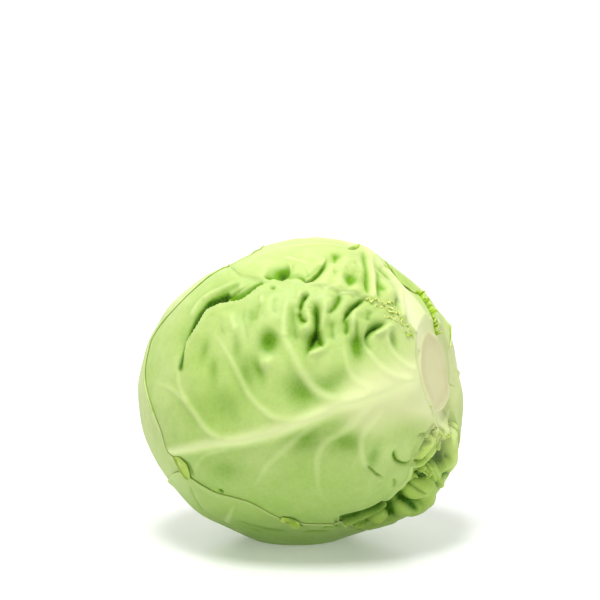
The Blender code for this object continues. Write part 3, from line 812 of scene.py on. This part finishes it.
CELLS = 205
STEM_EDGE = 11.8
under_chart = Chart(80, -84)
under_outline = under_chart.points([
    (STEM_EDGE, -92), (STEM_EDGE, -60), (19, -47), (26, -44), (38, -44), (52, -48), (68, -48),
    (84, -44), (100, -40), (116, -44), (128, -60), (133, -84), (128, -108), (114, -124),
    (96, -134), (76, -142), (54, -150), (34, -156), (19, -156), (STEM_EDGE, -134)])
top_chart = Chart(85, 95)
top_outline = top_chart.points([
    (STEM_EDGE, 95), (STEM_EDGE, 66), (12.5, 40), (18, 34), (28, 35), (42, 36), (58, 34), (72, 34),
    (88, 38), (104, 38), (117, 42), (128, 62), (133, 95), (127, 118), (112, 134), (92, 142),
    (70, 145), (48, 142), (30, 136), (17, 126), (STEM_EDGE, 112)])
back_chart = Chart(88, 160)
back_outline = np.vstack((
    back_chart.points([(STEM_EDGE, 160), (12.6, 146), (13.6, 136)]),
    back_chart.at((444, 343), (441, 334), (438, 324), (435, 315), (431, 306), (426, 298),
                  (420, 291), (414, 288)),
    back_chart.points([
        (32, 113), (36, 115), (42, 114), (48, 112), (58, 112), (72, 113), (85, 114), (98, 115),
        (112, 116), (126, 121), (138, 134), (146, 160), (140, 190), (126, 204), (108, 212), (88, 216),
        (66, 218), (44, 216), (26, 206), (12.4, 196), (STEM_EDGE, 178)])))
front_chart = Chart(88, -8)
front_outline = np.vstack((
    [(0, -76.0), (7, -76.4), (13, -77.6), (17, -74)],
    front_chart.at((420, 334), (413, 329), (405, 318), (395, 309), (380, 303), (366, 296), (345, 289),
                   (330, 286), (306, 284), (283, 280), (262, 277), (240, 273)),
    front_chart.points([(106, 74), (118, 74), (127, 66), (136, 54), (142, 38), (147, 16)]),
    [(10, 61), (-10, 61), (-28, 54),
     (-42, 38), (-52, 18), (-55, -4), (-54, -20)],
    front_chart.at((335, 521), (350, 516), (376, 509), (387, 502), (397, 491), (408, 484),
                   (414, 474), (415, 462), (419, 452), (421, 441), (428, 434), (434, 426),
                   (441, 416))))
left_chart = Chart(128, -150)
left_outline = np.vstack((
    left_chart.points([(STEM_EDGE, 182), (12.6, 168), (24, 160), (36, 156), (50, 152), (66, 140),
                       (84, 122), (98, 104)]),
    left_chart.at((250, 255), (238, 260), (226, 267), (214, 274), (206, 279), (197, 287),
                  (188, 296), (177, 307), (167, 317), (158, 329), (151, 342), (149, 353),
                  (146, 367), (146, 381), (149, 397), (160, 425), (173, 455)),
    left_chart.points([(124, -16), (121, -26), (122, -36), (120, -52), (112, -66), (100, -84),
                       (86, -100), (70, -114), (54, -130), (36, -142), (22, -156),
                       (12.2, -166)])))
lower_chart = Chart(98, -118)
lower_outline = np.vstack((
    lower_chart.points([(STEM_EDGE, -150), (12.4, -136), (24, -128), (38, -123), (54, -115),
                        (62, -104), (69, -90), (71, -74)]),
    lower_chart.at((374, 531), (352, 527), (330, 523), (305, 523), (280, 518), (262, 508),
                   (248, 501), (232, 496), (215, 492), (202, 486), (192, 480)),
    lower_chart.points([(124, -24), (129, -27), (139, -40), (146, -62), (150, -90), (146, -118),
                        (136, -140), (120, -152), (100, -158), (78, -162), (56, -166),
                        (36, -170), (20, -174), (12.2, -166)])))
over_top = [(back_chart, back_outline), (front_chart, front_outline), (left_chart, left_outline)]
over_under = [(front_chart, front_outline), (left_chart, left_outline),
              (lower_chart, lower_outline)]
over_back = [(left_chart, left_outline), (lower_chart, lower_outline)]

under = Leaf("crumpled_under_leaf", under_chart, under_outline, CELLS + 7, 0.7, 2,
             [(under_chart.at((429, 462)), 0.5, 0.68), (under_chart.at((405, 500)), 0.3, 0.35)])
under.rib(under.place((16, -110), (60, -100), (110, -90)), 5, 1.8)
under.bumps(21, 90, 13, 1.2)
crushed = under.beside(under.at((452, 425), (446, 440), (432, 455), (424, 480), (405, 505),
                                (370, 518), (340, 524)), 11, 4)
under.height -= (under.height + 2.0) * crushed
# Lobes of the crushed blade: line they follow, half width in degrees, and height.
for spots, width, high in (
        (((419, 439), (422, 435), (426, 434), (428, 438)), 1.0, 1.6),
        (((418, 456), (424, 449), (431, 441)), 1.5, 2.8), (((415, 465), (420, 463), (426, 458)), 1.3, 2.4),
        (((428, 453), (431, 449)), 2.4, 3.0), (((434, 431), (435, 425), (438, 421)), 1.5, 2.8),
        (((430, 438), (436, 436), (440, 433)), 0.9, 2.2), (((443, 438), (448, 435)), 1.1, 2.2),
        (((445, 424), (449, 429)), 2.6, 2.6), (((453, 437), (456, 427)), 1.6, 2.2),
        (((437, 438), (433, 444)), 0.9, 2.0), (((441, 443), (438, 449)), 1.1, 2.2),
        (((452, 446), (451, 462), (447, 471)), 3.9, 3.2), (((446, 464), (440, 468)), 2.6, 3.0),
        (((434, 466), (438, 476), (440, 484)), 1.8, 2.6), (((430, 467), (434, 479)), 1.0, 2.0),
        (((421, 471), (424, 467)), 0.9, 2.2), (((424, 475), (427, 470)), 0.8, 2.2),
        (((417, 476), (421, 473)), 0.8, 1.8), (((427, 477), (430, 472)), 0.8, 2.0),
        (((414, 490), (425, 488), (426, 498)), 4.4, 4.6), (((419, 504), (428, 500)), 2.6, 4.2),
        (((400, 509), (412, 508), (422, 505)), 4.4, 3.9),
        (((376, 519), (384, 515)), 2.6, 2.6),
        (((346, 525), (358, 521), (372, 515), (386, 507)), 1.3, 1.6),
        (((352, 529), (364, 526)), 1.2, 0.9)):
    under.lobe(under.at(*spots), width, high)
for spots, width, depth in (
        (((437, 450), (441, 455), (446, 458)), 1.6, 4.0), (((446, 403), (448, 408), (451, 414)), 0.8, 3.0),
        (((407, 484), (414, 486), (422, 490)), [0.5, 0.4, 0.2], 1.5), (((395, 496), (402, 498), (410, 503), (414, 507)), 0.7, 3.2),
        (((394, 501), (391, 509), (391, 519)), 0.8, 3.0),
        (((338, 520), (350, 517), (362, 513), (378, 508), (390, 501)), [1.6, 2.2, 1.6, 1.2], 6.0),
        (((416, 477), (421, 474), (428, 477)), 0.6, 2.6),
        (((449, 470), (441, 474), (436, 480)), 0.7, 2.2), (((452, 420), (455, 430), (459, 438)), 0.6, 1.8)):
    under.crease(under.at(*spots), width, depth, ends=(0.12, 0.25), shade_weight=1.9)
under.bumps(23, 1400, 3.0, 0.95, crushed)
under.bumps(24, 5000, 1.3, 0.75, crushed)
under.ruffle(1.0, 6, 0.7, 6, 0.2, 3, 0.4)
under.lay(over_under, 2.6, sink=8)
under_shades = leaf_shades("under_leaf_green", rgb(54, 104, 0), rgb(176, 214, 80),
                           rgb(204, 234, 108), rgb(208, 228, 144), rgb(220, 226, 168))
for spots, high, seed in ((((419, 441), (423, 436), (428, 437)), 1.8, 1),
                          (((432, 436), (438, 434), (443, 437), (448, 434)), 1.8, 2),
                          (((418, 461), (425, 452), (432, 443), (437, 438)), 1.6, 3),
                          (((416, 474), (421, 470), (426, 473), (431, 470)), 2.2, 4),
                          (((452, 424), (456, 431), (457, 440)), 1.6, 5)):
    under.frill(spots, high, 3.0, 0.9, 0.3, seed, (0.05, 0.75))
under.finish("leaf_under", under_shades)

# ---
# Top leaf. Folds and a round swelling cross it above the front leaf, and its broad
# pale rib runs down to the stump on the right.
top = Leaf("folded_top_leaf", top_chart, top_outline, CELLS + 12, 0.5, 3,
           [(top_chart.at((368, 278)), 0.45, 0.5), (top_chart.at((300, 272)), 0.3, 0.45)])
top.bumps(31, 90, 13, 0.8)
top.bumps(32, 700, 5, 0.4)
top.rib(top.place((12, 80), (20, 84), (30, 88), (44, 92), (70, 94), (100, 95)), 6.0, 2.6, 3, 1.0,
        show=0.9)
for spots, wide, high, show in (
        (((373, 300), (373, 286), (371, 272), (370, 260), (370, 252)), 1.5, 2.2, 0.7),
        (((403, 322), (405, 308), (403, 298), (398, 286)), 1.3, 1.2, 0.7),
        (((355, 298), (356, 286), (360, 274), (358, 258)), 1.8, 1.0, 0.2),
        (((340, 288), (340, 276), (345, 264), (348, 254)), 1.8, 1.0, 0.2),
        (((285, 257), (296, 260), (306, 264), (315, 269)), 1.0, 0.7, 0.6),
        (((324, 284), (330, 272), (335, 262)), 2.0, 0.9, 0.2)):
    top.rib(top.at(*spots), wide, high, high * 0.6, show=show)
for spots, width, depth in (
        (((363, 250), (364, 258), (366, 268), (367, 283), (368, 298)), [0.9, 1.0, 0.6, 0.4, 0.6],
         [1.2, 1.6, 1.8, 2.0, 2.6]),
        (((378, 271), (379, 281), (379, 291), (379, 299)), [1.2, 0.7, 1.0, 1.0], 1.5),
        (((378, 272), (385, 269), (391, 276)), [1.4, 1.0, 0.7], 1.3),
        (((399, 297), (398, 303), (397, 311)), [0.6, 1.0, 0.7], 2.2),
        (((351, 274), (350, 281), (351, 288)), [1.4, 1.4, 0.8], 0.9),
        (((336, 254), (335, 260), (334, 265)), 0.8, 1.3),
        (((262, 275), (272, 276), (286, 281)), 0.9, 2.0),
        (((385, 301), (391, 305), (396, 307)), 0.8, 1.2),
        (((331, 272), (339, 272), (347, 268)), [1.4, 1.6, 1.0], 0.9),
        (((352, 262), (358, 268), (360, 276)), 1.4, 0.9)):
    top.crease(top.at(*spots), width, depth)
top.hollow(top.at((391, 291)), (3.2, 3.2), -2.0)
top.hollow(top.at((386, 276)), (2.4, 2.8), 1.8, shade_weight=0.8)
top.hollow(top.at((383, 287)), (2.0, 2.0), 1.3, shade_weight=0.8)
top.hollow(top.at((356, 277)), (4.0, 4.0), 1.3, shade_weight=0.7)
top.hollow(top.at((336, 257)), (3.0, 2.2), 1.2, shade_weight=0.8)
top.hollow(top.at((351, 280)), (3.0, 3.0), 1.2)
top.hollow(top.at((342, 266)), (5.0, 4.0), -1.0)
top.hollow(top.at((344, 244)), (3.6, 5.0), 3.2, shade_weight=0)
top.hollow(top.at((402, 279)), (6, 6), 3.4, shade_weight=0)
top.hollow(top.at((384, 262)), (5, 5), 1.6, shade_weight=0)
crescent = top.at((289, 278), (297, 277), (303, 279), (307, 282), (313, 279), (319, 273),
                  (324, 265), (327, 257))
top.fold(crescent, 0.8, 2.2, 1.1, 0.3, 1, (5.0, 1.2), (0.45, 0.3), shade_weight=1.2)
# Painted shade: deeper green in the crease under the crescent lobe.
top.painted_shade += 0.5 * top.beside(top.at((290, 277), (298, 276), (306, 279), (314, 275),
                                       (320, 270)), 1.5, 2)
top.hollow(top.at((284, 272)), (3.4, 2.6), 3.4, shade_weight=0.6, power=1.1)
top.hollow(top.at((277, 271)), (3.4, 3.4), 1.4)
top.rib(top.at((290, 264), (291, 271), (290, 278)), 0.8, 1.6, show=0.2)
top.hollow(top.at((264, 266)), (3.6, 3.0), -1.6)
top.hollow(top.at((312, 260)), (4.4, 3.4), -1.4)
top.rib(top.place((56, 94), (74, 80), (92, 74)), 2.4, 1.0)
top.rib(top.place((74, 95), (92, 112), (108, 122)), 2.4, 1.0)
top.pale += 0.7 * top.beside(top.at((396, 274), (404, 290), (412, 310), (422, 332)), 6.5, 3)
top.lay(over_top, 4.0, sink=5.0)
top_shades = leaf_shades("top_leaf_green", rgb(104, 160, 0), rgb(188, 211, 116),
                         rgb(205, 225, 140), rgb(220, 234, 162), rgb(228, 236, 180))
top.finish("leaf_top", top_shades)

# ---
# Back leaf. Its frilled margin stands over the top leaf's rib; the rest faces away.
back = Leaf("frilled_back_leaf", back_chart, back_outline, CELLS - 5, 0.7, 4)
back.bumps(41, 110, 12, 1.0)
back.bumps(42, 900, 5, 0.4)
back.rib(back.place((30, 160), (60, 161), (100, 160), (140, 162)), 6.5, 3.4, 2.0, 1.2, start=0.3)
for near, far in (((30, 160), (62, 120)), ((54, 160), (88, 118)), ((80, 160), (116, 128)),
                  ((40, 160), (74, 200)), ((66, 160), (104, 198)), ((92, 160), (128, 190))):
    middle = ((near[0] + far[0]) / 2 + 6, (near[1] + far[1]) / 2)
    back.rib(back.place(near, middle, far), 2.6, 1.8)
back.hollow(back.place((70, 138)), (9, 6), 1.6, 30)
back.hollow(back.place((94, 140)), (8, 6), 1.4, 20)
back.hollow(back.place((60, 180)), (9, 6), 1.4, -30)
back.ruffle(back.beside(back.place((17, 90), (30, 88), (50, 91), (80, 93)), 9), 4, 0.6,
            4.5, 0.3, 5, 0.4)
back.lay(over_back, 2.6, sink=3.0)
back_shades = leaf_shades("back_leaf_green", rgb(98, 146, 12), rgb(170, 200, 96),
                          rgb(194, 218, 124), rgb(212, 230, 158), rgb(206, 212, 156))
back.frill(((415, 289), (421, 294), (426, 301), (431, 310), (434, 319), (438, 329), (441, 338)),
           5.4, 2.7, 0.9, 0.2, 41, (0.1, 0.7))
back.flap(((347, 250), (352, 251), (358, 250)), ((350, 248), (354, 248), (358, 248)), (-0.2, 0.3), 0.3,
          (0.1, 0.5), 0.1, 42)
back.flap(((383, 263), (387, 267), (391, 270)), ((384, 261), (389, 265), (393, 268)), (-0.2, 0.7), 0.3,
          (0.2, 0.5), 0.1, 43)
back.finish("leaf_back", back_shades)

# ---
# Front leaf. The large leaf that faces the camera: a broad pale midrib from the stump
# to the lower left, arched side veins, and an upper margin gathered into folds.
front = Leaf("front_leaf", front_chart, front_outline, CELLS + 3, 0.3, 5,
             [(front_chart.at((345, 325)), 0.40, 0.45), (front_chart.at((212, 318)), 0.30, 0.5),
              (front_chart.at((400, 462)), 0.22, 0.35)])
front.bumps(51, 110, 11, 0.6)
front.bumps(52, 900, 5, 0.36)
midrib = front.at((436, 372), (420, 376), (403, 381), (369, 394), (342, 403), (314, 415),
                  (290, 425), (262, 434), (234, 440), (212, 443), (191, 447), (170, 451))
front.rib(midrib, 4.2, 3.4, 2.1, 1.8, show=1.0, trough=0.1, flank=2.3, end_show=0.8, start=0)
for spots, high, wide in (
        (((262, 434), (238, 439), (222, 437), (206, 427), (195, 413), (184, 399), (172, 389),
          (158, 383), (148, 379)), 1.9, 2.5),
        (((190, 405), (182, 392), (179, 378), (180, 364), (184, 345)), 1.2, 2.2),
        (((330, 409), (300, 420), (276, 417), (262, 408), (250, 396), (241, 380), (232, 362),
          (222, 345), (212, 331), (202, 322)), 1.6, 2.3),
        (((372, 393), (350, 400), (330, 398), (315, 389), (304, 375), (296, 361), (288, 346),
          (280, 332), (268, 322), (257, 313)), 2.2, 2.9),
        (((284, 338), (284, 322), (286, 306), (289, 292)), 1.1, 2.0),
        (((410, 382), (392, 377), (377, 364), (368, 349), (365, 334), (368, 322), (378, 312)),
         2.0, 2.2),
        (((412, 372), (400, 362), (391, 350), (387, 338), (388, 326)), 1.6, 2.0),
        (((372, 392), (355, 380), (347, 366), (344, 350), (345, 334)), 1.2, 2.2),
        (((372, 401), (345, 430), (326, 442), (318, 456), (317, 474), (320, 492), (327, 506)),
         1.0, 2.8),
        (((325, 414), (302, 434), (284, 450), (269, 463), (260, 477), (247, 499)), 0.6, 2.6),
        (((250, 440), (222, 449), (203, 457), (195, 470), (192, 482)), 0.4, 2.0),
        (((385, 405), (365, 430), (361, 448), (364, 462), (374, 475), (388, 486)), 1.1, 2.4),
        (((236, 330), (232, 320), (233, 311)), 0.9, 1.8)):
    front.rib(front.at(*spots), 0.78 * wide, 0.5 * high, end_height=None,
              show=0.3 + 0.15 * high, trough=0.1)
front.pale += 0.9 * ease(1.25 - along(front.points, smooth_path(front.at(
    (440, 385), (405, 392), (372, 398))))[0] / 14)
for x, y, size, depth, turn in (
        (268, 341, (3.8, 4.4), 2.6, 0), (204, 350, (2.2, 4.4), 0.9, 15), (213, 370, (2.0, 5.0), 0.8, 0),
        (236, 345, (2.0, 5.0), 0.8, 0), (251, 318, (2.0, 3.6), 0.7, 0), (259, 371, (1.8, 4.4), 1.1, -15),
        (347, 441, (7.0, 4.8), 1.4, 10), (336, 383, (8.5, 5.0), 1.5, -20), (246, 374, (4.0, 6.0), 1.2, 0),
        (357, 348, (2.6, 5.0), 2.0, 0), (394, 341, (1.8, 3.4), 1.4, 0), (273, 288, (0.9, 0.9), 1.2, 0), (221, 491, (0.8, 0.8), 2.6, 0),
        (304, 440, (6.0, 5.0), 1.2, 0), (225, 470, (7.0, 4.5), 0.9, 0), (300, 392, (5.5, 7.5), 1.5, -20),
        (226, 405, (6.0, 5.0), 0.7, 0), (374, 455, (2.6, 6.5), 1.2, 25)):
    front.hollow(front.at((x, y)), (size[1], size[0]), depth, -turn, shade_weight=0.8)
for x, y, size, high, turn in (
        (266, 363, (2.2, 1.9), 1.9, 0), (306, 329, (2.6, 1.8), 1.6, 0), (381, 441, (6.0, 6.5), 2.6, 0),
        (402, 440, (4.6, 6.5), 1.6, 0), (385, 331, (4.6, 1.8), 1.6, -25), (318, 352, (3.6, 1.8), 1.5, -25),
        (300, 300, (2.0, 5.0), 1.4, 0), (327, 305, (3.0, 5.0), 1.8, 10), (355, 325, (3.0, 5.0), 1.2, 10),
        (270, 305, (4.0, 5.0), 1.2, 0), (225, 320, (5.0, 4.0), 1.4, 0), (197, 380, (4.0, 7.0), 0.8, 0),
        (390, 475, (4.0, 3.5), 1.2, 0), (360, 488, (7.0, 4.0), 0.9, 0), (240, 330, (3.0, 6.0), 0.8, 0)):
    front.hollow(front.at((x, y)), (size[1], size[0]), -high, -turn)
for spots, width, depth in (
        (((311, 300), (316, 306), (318, 314), (318, 324), (317, 332), (313, 342), (308, 352), (303, 363)),
         [2.0, 1.5, 0.7, 0.6, 1.0, 1.6, 1.2, 0.7], [4.4, 4.6, 4.4, 4.6, 5.0, 5.0, 4.2, 3.0]),
        (((317, 328), (320, 338), (324, 349)), [1.0, 1.1, 0.7], 3.8),
        (((310, 292), (304, 299), (301, 307), (301, 315)), [0.5, 0.7, 0.7, 0.5], 3.4),
        (((299, 310), (302, 318), (309, 323)), [0.6, 0.9, 0.6], 2.6),
        (((369, 297), (360, 302), (352, 309), (345, 319), (343, 325)), [0.4, 0.7, 0.8, 0.6, 0.5], [2.4, 4.0, 4.6, 4.4, 3.0]),
        (((345, 316), (348, 326), (346, 338)), [0.7, 1.1, 0.9], 2.0),
        (((338, 288), (340, 297), (336, 306), (330, 312), (320, 319)), [1.0, 1.5, 1.2, 1.0, 0.8],
         [1.6, 2.4, 2.2, 1.6, 1.0]),
        (((390, 321), (382, 325), (374, 329), (368, 335), (367, 342), (370, 349), (375, 356)),
         [0.5, 0.9, 1.2, 0.9, 0.8, 1.2, 1.0], [3.0, 4.2, 4.4, 4.2, 3.4, 3.0, 2.0]),
        (((372, 309), (369, 316), (368, 323)), [1.2, 1.4, 1.2], 1.3),
        (((334, 318), (333, 330), (335, 344)), [1.2, 1.8, 1.4], 1.4),
        (((358, 318), (357, 328), (359, 340), (362, 350)), [1.0, 1.4, 1.6, 1.2], 1.8),
        (((294, 300), (293, 314), (295, 330), (298, 350)), [1.2, 1.8, 1.8, 1.2], 1.5),
        (((277, 294), (274, 306), (277, 318)), [1.2, 1.8, 1.2], 0.9),
        (((262, 300), (257, 312), (256, 324)), [1.0, 1.4, 1.0], 0.8),
        (((246, 304), (243, 318), (247, 332), (249, 350)), [1.2, 1.6, 1.6, 1.2], 0.8),
        (((224, 314), (221, 326), (226, 338)), [1.0, 1.4, 1.0], 0.6),
        (((393, 444), (394, 453), (397, 460), (404, 463), (412, 462), (418, 458)),
         [0.5, 0.5, 0.45, 0.4, 0.4, 0.4], [1.8, 2.6, 3.2, 2.6, 2.4, 2.2]),
        (((365, 463), (371, 469), (377, 474), (386, 477)), [0.3, 0.45, 0.45, 0.3], [1.2, 2.0, 2.2, 1.0]),
        (((391, 475), (395, 482), (393, 490)), [1.0, 0.8, 0.6], 1.4),
        (((417, 438), (422, 434), (428, 436)), 0.5, 1.8),
        (((206, 312), (213, 304), (221, 299), (230, 295), (238, 290), (245, 286), (252, 281)),
         [0.9, 1.0, 0.8, 0.5, 0.45, 0.45, 0.4], [2.6, 3.0, 2.6, 2.2, 1.8, 1.6, 1.2]),
        (((184, 458), (189, 467), (193, 479)), 0.5, 1.0)):
    front.crease(front.at(*spots), width, depth, ends=(0.3, 0.35), steep=1)
for spots, width, high, show in (
        (((324, 300), (324, 312), (323, 324), (323, 334)), 1.6, 1.5, 0.25),
        (((309, 308), (309, 318), (310, 328)), 1.4, 1.5, 0.2),
        (((374, 336), (381, 331), (389, 327), (396, 325)), 1.0, 2.0, 0.35),
        (((357, 308), (353, 316), (352, 328), (354, 342)), 1.5, 1.3, 0.25),
        (((331, 298), (330, 306), (325, 314)), 1.2, 1.0, 0.2),
        (((308, 354), (316, 352), (325, 349)), 1.0, 1.4, 0.3),
        (((322, 287), (344, 290), (364, 297)), 0.6, 0.9, 0.5),
        (((341, 292), (352, 294), (362, 299)), 0.5, 0.7, 0.5),
        (((413, 466), (411, 476), (404, 485), (395, 491), (388, 499)), 0.8, 1.3, 0.3),
        (((190, 318), (198, 305), (209, 295), (224, 287), (242, 281)), 1.4, 1.3, 0.35),
        (((204, 300), (214, 292), (224, 286)), 0.6, 0.8, 0.6),
        (((262, 296), (260, 306)), 0.8, 0.8, 0.5), (((302, 292), (296, 300)), 1.4, 0.9, 0.3),
        (((386, 330), (387, 342), (391, 354)), 0.9, 0.8, 0.5)):
    front.rib(front.at(*spots), width, high, high * 0.7, show=show)
front.fold(front.at((182, 369), (184, 355), (187, 342), (193, 333), (200, 322), (206, 312),
                    (212, 307), (220, 303), (229, 300)),
           1.0, 1.5, 7.0, 0.0, -1, (3.2, 3.0), (0.4, 0.15), shade_weight=2.2)
front.fold(front.at((222, 303), (232, 301), (241, 299), (249, 294), (258, 287), (268, 281)),
           0.8, 1.0, 1.8, 0.0, -1, (4.0, 3.0), (0.2, 0.25), shade_weight=0.6)
# Painted shade along the pleat at the upper left: a dark line in its crease, and softer bands beside it.
front.painted_shade += 1.9 * front.beside(front.at((181, 368), (183, 352), (185, 341), (190, 329),
                                             (197, 316), (203, 308), (209, 302), (218, 298),
                                             (227, 295)), 1.0, 2)
front.painted_shade += 0.7 * front.beside(front.at((232, 297), (241, 294), (250, 289), (260, 283)), 1.5, 4)
front.painted_shade += 0.5 * front.beside(front.at((190, 336), (197, 320), (206, 305), (220, 294),
                                             (236, 286)), 1.8, 4)
# Painted light: paler green on the upper part of the front leaf, where the light falls from above.
front.painted_highlight += 0.45 * np.clip((front.d[:, 2] - 0.2) / 0.4, 0, 1)
upper = np.clip((front.points[:, 0] - 18) / 12, 0, 1) * np.clip(-front.points[:, 1] / 14, 0, 1)
front.ruffle(upper, 7, 0.5, 9, 0.8, 6, 0.3)
front.lay([(left_chart, left_outline), (lower_chart, lower_outline)], 2.6, sink=2.5)
front_shades = leaf_shades("front_leaf_green", rgb(92, 142, 0), rgb(168, 201, 96),
                           rgb(195, 217, 134), rgb(226, 240, 170), rgb(222, 232, 166))
for spots, high, seed, tone in (
        (((366, 297), (371, 301), (379, 301), (386, 307), (395, 307), (402, 314)), 2.4, 51, (0.6, 1.0)),
        (((373, 307), (382, 306), (388, 312), (397, 312), (403, 319)), 2.2, 52, (0.55, 1.0)),
        (((384, 312), (387, 318), (394, 317), (398, 325)), 2.0, 53, (0.5, 1.0)),
        (((379, 299), (385, 302), (392, 300), (397, 306)), 1.6, 56, (0.7, 1.0)),
        (((400, 316), (402, 323), (409, 327), (412, 334)), 2.4, 54, (0.4, 0.9)),
        (((404, 329), (408, 335), (415, 336)), 2.4, 55, (0.2, 0.6))):
    front.frill(spots, high, 3.2, 1.2, 0.3, seed, tone)
front.finish("leaf_front", front_shades)

# ---
# Left leaf. It wraps the far end of the head, and its thin margin laps over the tip
# of the front leaf as a narrow strip at the left.
left = Leaf("left_leaf", left_chart, left_outline, CELLS, 0.35, 6)
left.bumps(61, 120, 12, 0.8)
left.bumps(62, 900, 5, 0.35)
left.rib(left.place((30, 183), (40, 186), (70, 200), (104, 208), (140, 210), (170, 0)),
         6.5, 3.4, 1.6, 0.5, start=0.3)
for near, far in (((40, 186), (66, 158)), ((62, 196), (94, 148)), ((92, 206), (120, 130)),
                  ((48, 189), (76, 226)), ((76, 202), (104, 240)), ((104, 208), (134, 262)),
                  ((136, 210), (134, 120)), ((146, 210), (150, 300)), ((120, 208), (130, 150)),
                  ((76, 201), (106, 166)), ((122, 209), (146, 262)), ((90, 205), (118, 246))):
    middle = ((near[0] + far[0]) / 2 + 5, (near[1] + far[1]) / 2)
    left.rib(left.place(near, middle, far), 1.9, 1.5)
# Painted highlight: a pale band along the left outline of the leaf.
left.painted_highlight += 0.8 * left.beside(left.at((146, 372), (148, 352), (154, 337), (163, 321), (178, 304),
                                       (192, 289), (203, 281)), 0.9)
left.crease(left.at((209, 275), (213, 279), (214, 284)), 0.8, 1.6)
left.crease(left.at((150, 396), (153, 405), (155, 414)), [0.4, 0.9, 0.6], 1.6)
left.lay([(lower_chart, lower_outline)], 1.3)
left_shades = leaf_shades("left_leaf_green", rgb(112, 156, 20), rgb(186, 208, 124),
                          rgb(206, 222, 148), rgb(220, 232, 174), rgb(218, 224, 166))
left.flap(((174, 456), (176, 465), (180, 474), (184, 482)), ((180, 457), (186, 464), (189, 472), (190, 480)),
          (0.2, 1.0), 0.8, (0.4, 0.55), 0.3, 61)
left.finish("leaf_left", left_shades)

# ---
# Lower leaf. It wraps the underside, where it is pressed flat against the ground, and
# its upper margin laps over the front leaf at the lower left.
lower = Leaf("lower_leaf", lower_chart, lower_outline, CELLS, 0.4, 7)
lower.bumps(71, 110, 12, 0.6)
lower.bumps(72, 900, 5, 0.3)
lower.rib(lower.place((30, -147), (40, -144), (68, -132), (100, -122), (134, -108)),
          6.0, 3.0, 2.0, 1.0, start=0.3)
for near, far in (((36, -145), (70, -108)), ((62, -134), (98, -94)), ((90, -124), (122, -74)),
                  ((48, -141), (84, -154)), ((78, -128), (114, -148)), ((110, -118), (140, -134))):
    lower.rib(lower.place(near, far), 2.4, 1.4)
lower.rib(lower.at((262, 533), (244, 527), (232, 520)), 1.6, -1.0, show=0)
lower.rib(lower.at((226, 522), (232, 510), (238, 504)), 1.6, 0.7)
lower.crease(lower.at((189, 484), (192, 493), (198, 503), (204, 512)), 0.5, 0.9)
lower.crease(lower.at((234, 520), (246, 525), (260, 529), (276, 532), (290, 533)), 0.8, 1.2)
for spots, width, depth in ((((318, 530), (332, 528), (344, 529)), 0.4, 1.8),
                            (((298, 533), (316, 533), (334, 532)), 0.4, 1.6)):
    lower.crease(lower.at(*spots), width, depth, ends=(0.4, 0.4), shade_weight=1.2)
lowest = np.degrees(np.arccos(np.clip(-lower.d[:, 2], -1, 1)))
lower.height *= np.clip((lowest - 12) / 14, 0, 1)
lower.lay()
lower_shades = leaf_shades("lower_leaf_green", rgb(88, 138, 0), rgb(184, 212, 114),
                           rgb(202, 222, 140), rgb(206, 224, 158), rgb(216, 222, 164))
lower.flap(((279, 519), (286, 524), (294, 529), (300, 530)), ((283, 516), (291, 517), (298, 520), (302, 526)),
           (0.3, 1.0), 0.6, (0.45, 0.35), 0.15, 71)
lower.finish("leaf_lower", lower_shades)

# ---
# Floor finish: matt white, with a light of its own that is painted light.
floor_shades = Shades("white_floor", 0.3)
floor_shades.connect("Base Color", floor_shades.mix(
    floor_shades.remap(floor_shades.noise(4, 2), 0.3, 0.7), (0.93, 0.93, 0.93, 1),
    (0.95, 0.95, 0.95, 1)))
floor_shades.shader.inputs["Specular IOR Level"].default_value = 0.3
floor_shades.shader.inputs["Emission Color"].default_value = (1, 1, 1, 1)
# Painted light: the floor's emission is weak near the head and grows with distance, keeping the far floor
# white where the lamps fall off, and a small extra emission right under the head lightens the contact shadow.
far = floor_shades.add("ShaderNodeVectorMath", i0=floor_shades.object)
far.operation = "LENGTH"
floor_shades.connect("Emission Strength", floor_shades.maths(
    "ADD", floor_shades.remap(far.outputs["Value"], 0.3, 1.6, 0.03, 0.42),
    floor_shades.remap(far.outputs["Value"], 0.03, 0.09, 0.16, 0)))
floor.data.materials.append(floor_shades.material)
backdrop_shades = Shades("white_backdrop", 0.9)
backdrop_shades.connect("Base Color", backdrop_shades.mix(
    backdrop_shades.remap(backdrop_shades.noise(2, 2), 0.3, 0.7), (0.93, 0.93, 0.93, 1),
    (0.95, 0.95, 0.95, 1)))
backdrop_shades.shader.inputs["Emission Color"].default_value = (1, 1, 1, 1)
backdrop_shades.shader.inputs["Emission Strength"].default_value = 0.5
backdrop.data.materials.append(backdrop_shades.material)
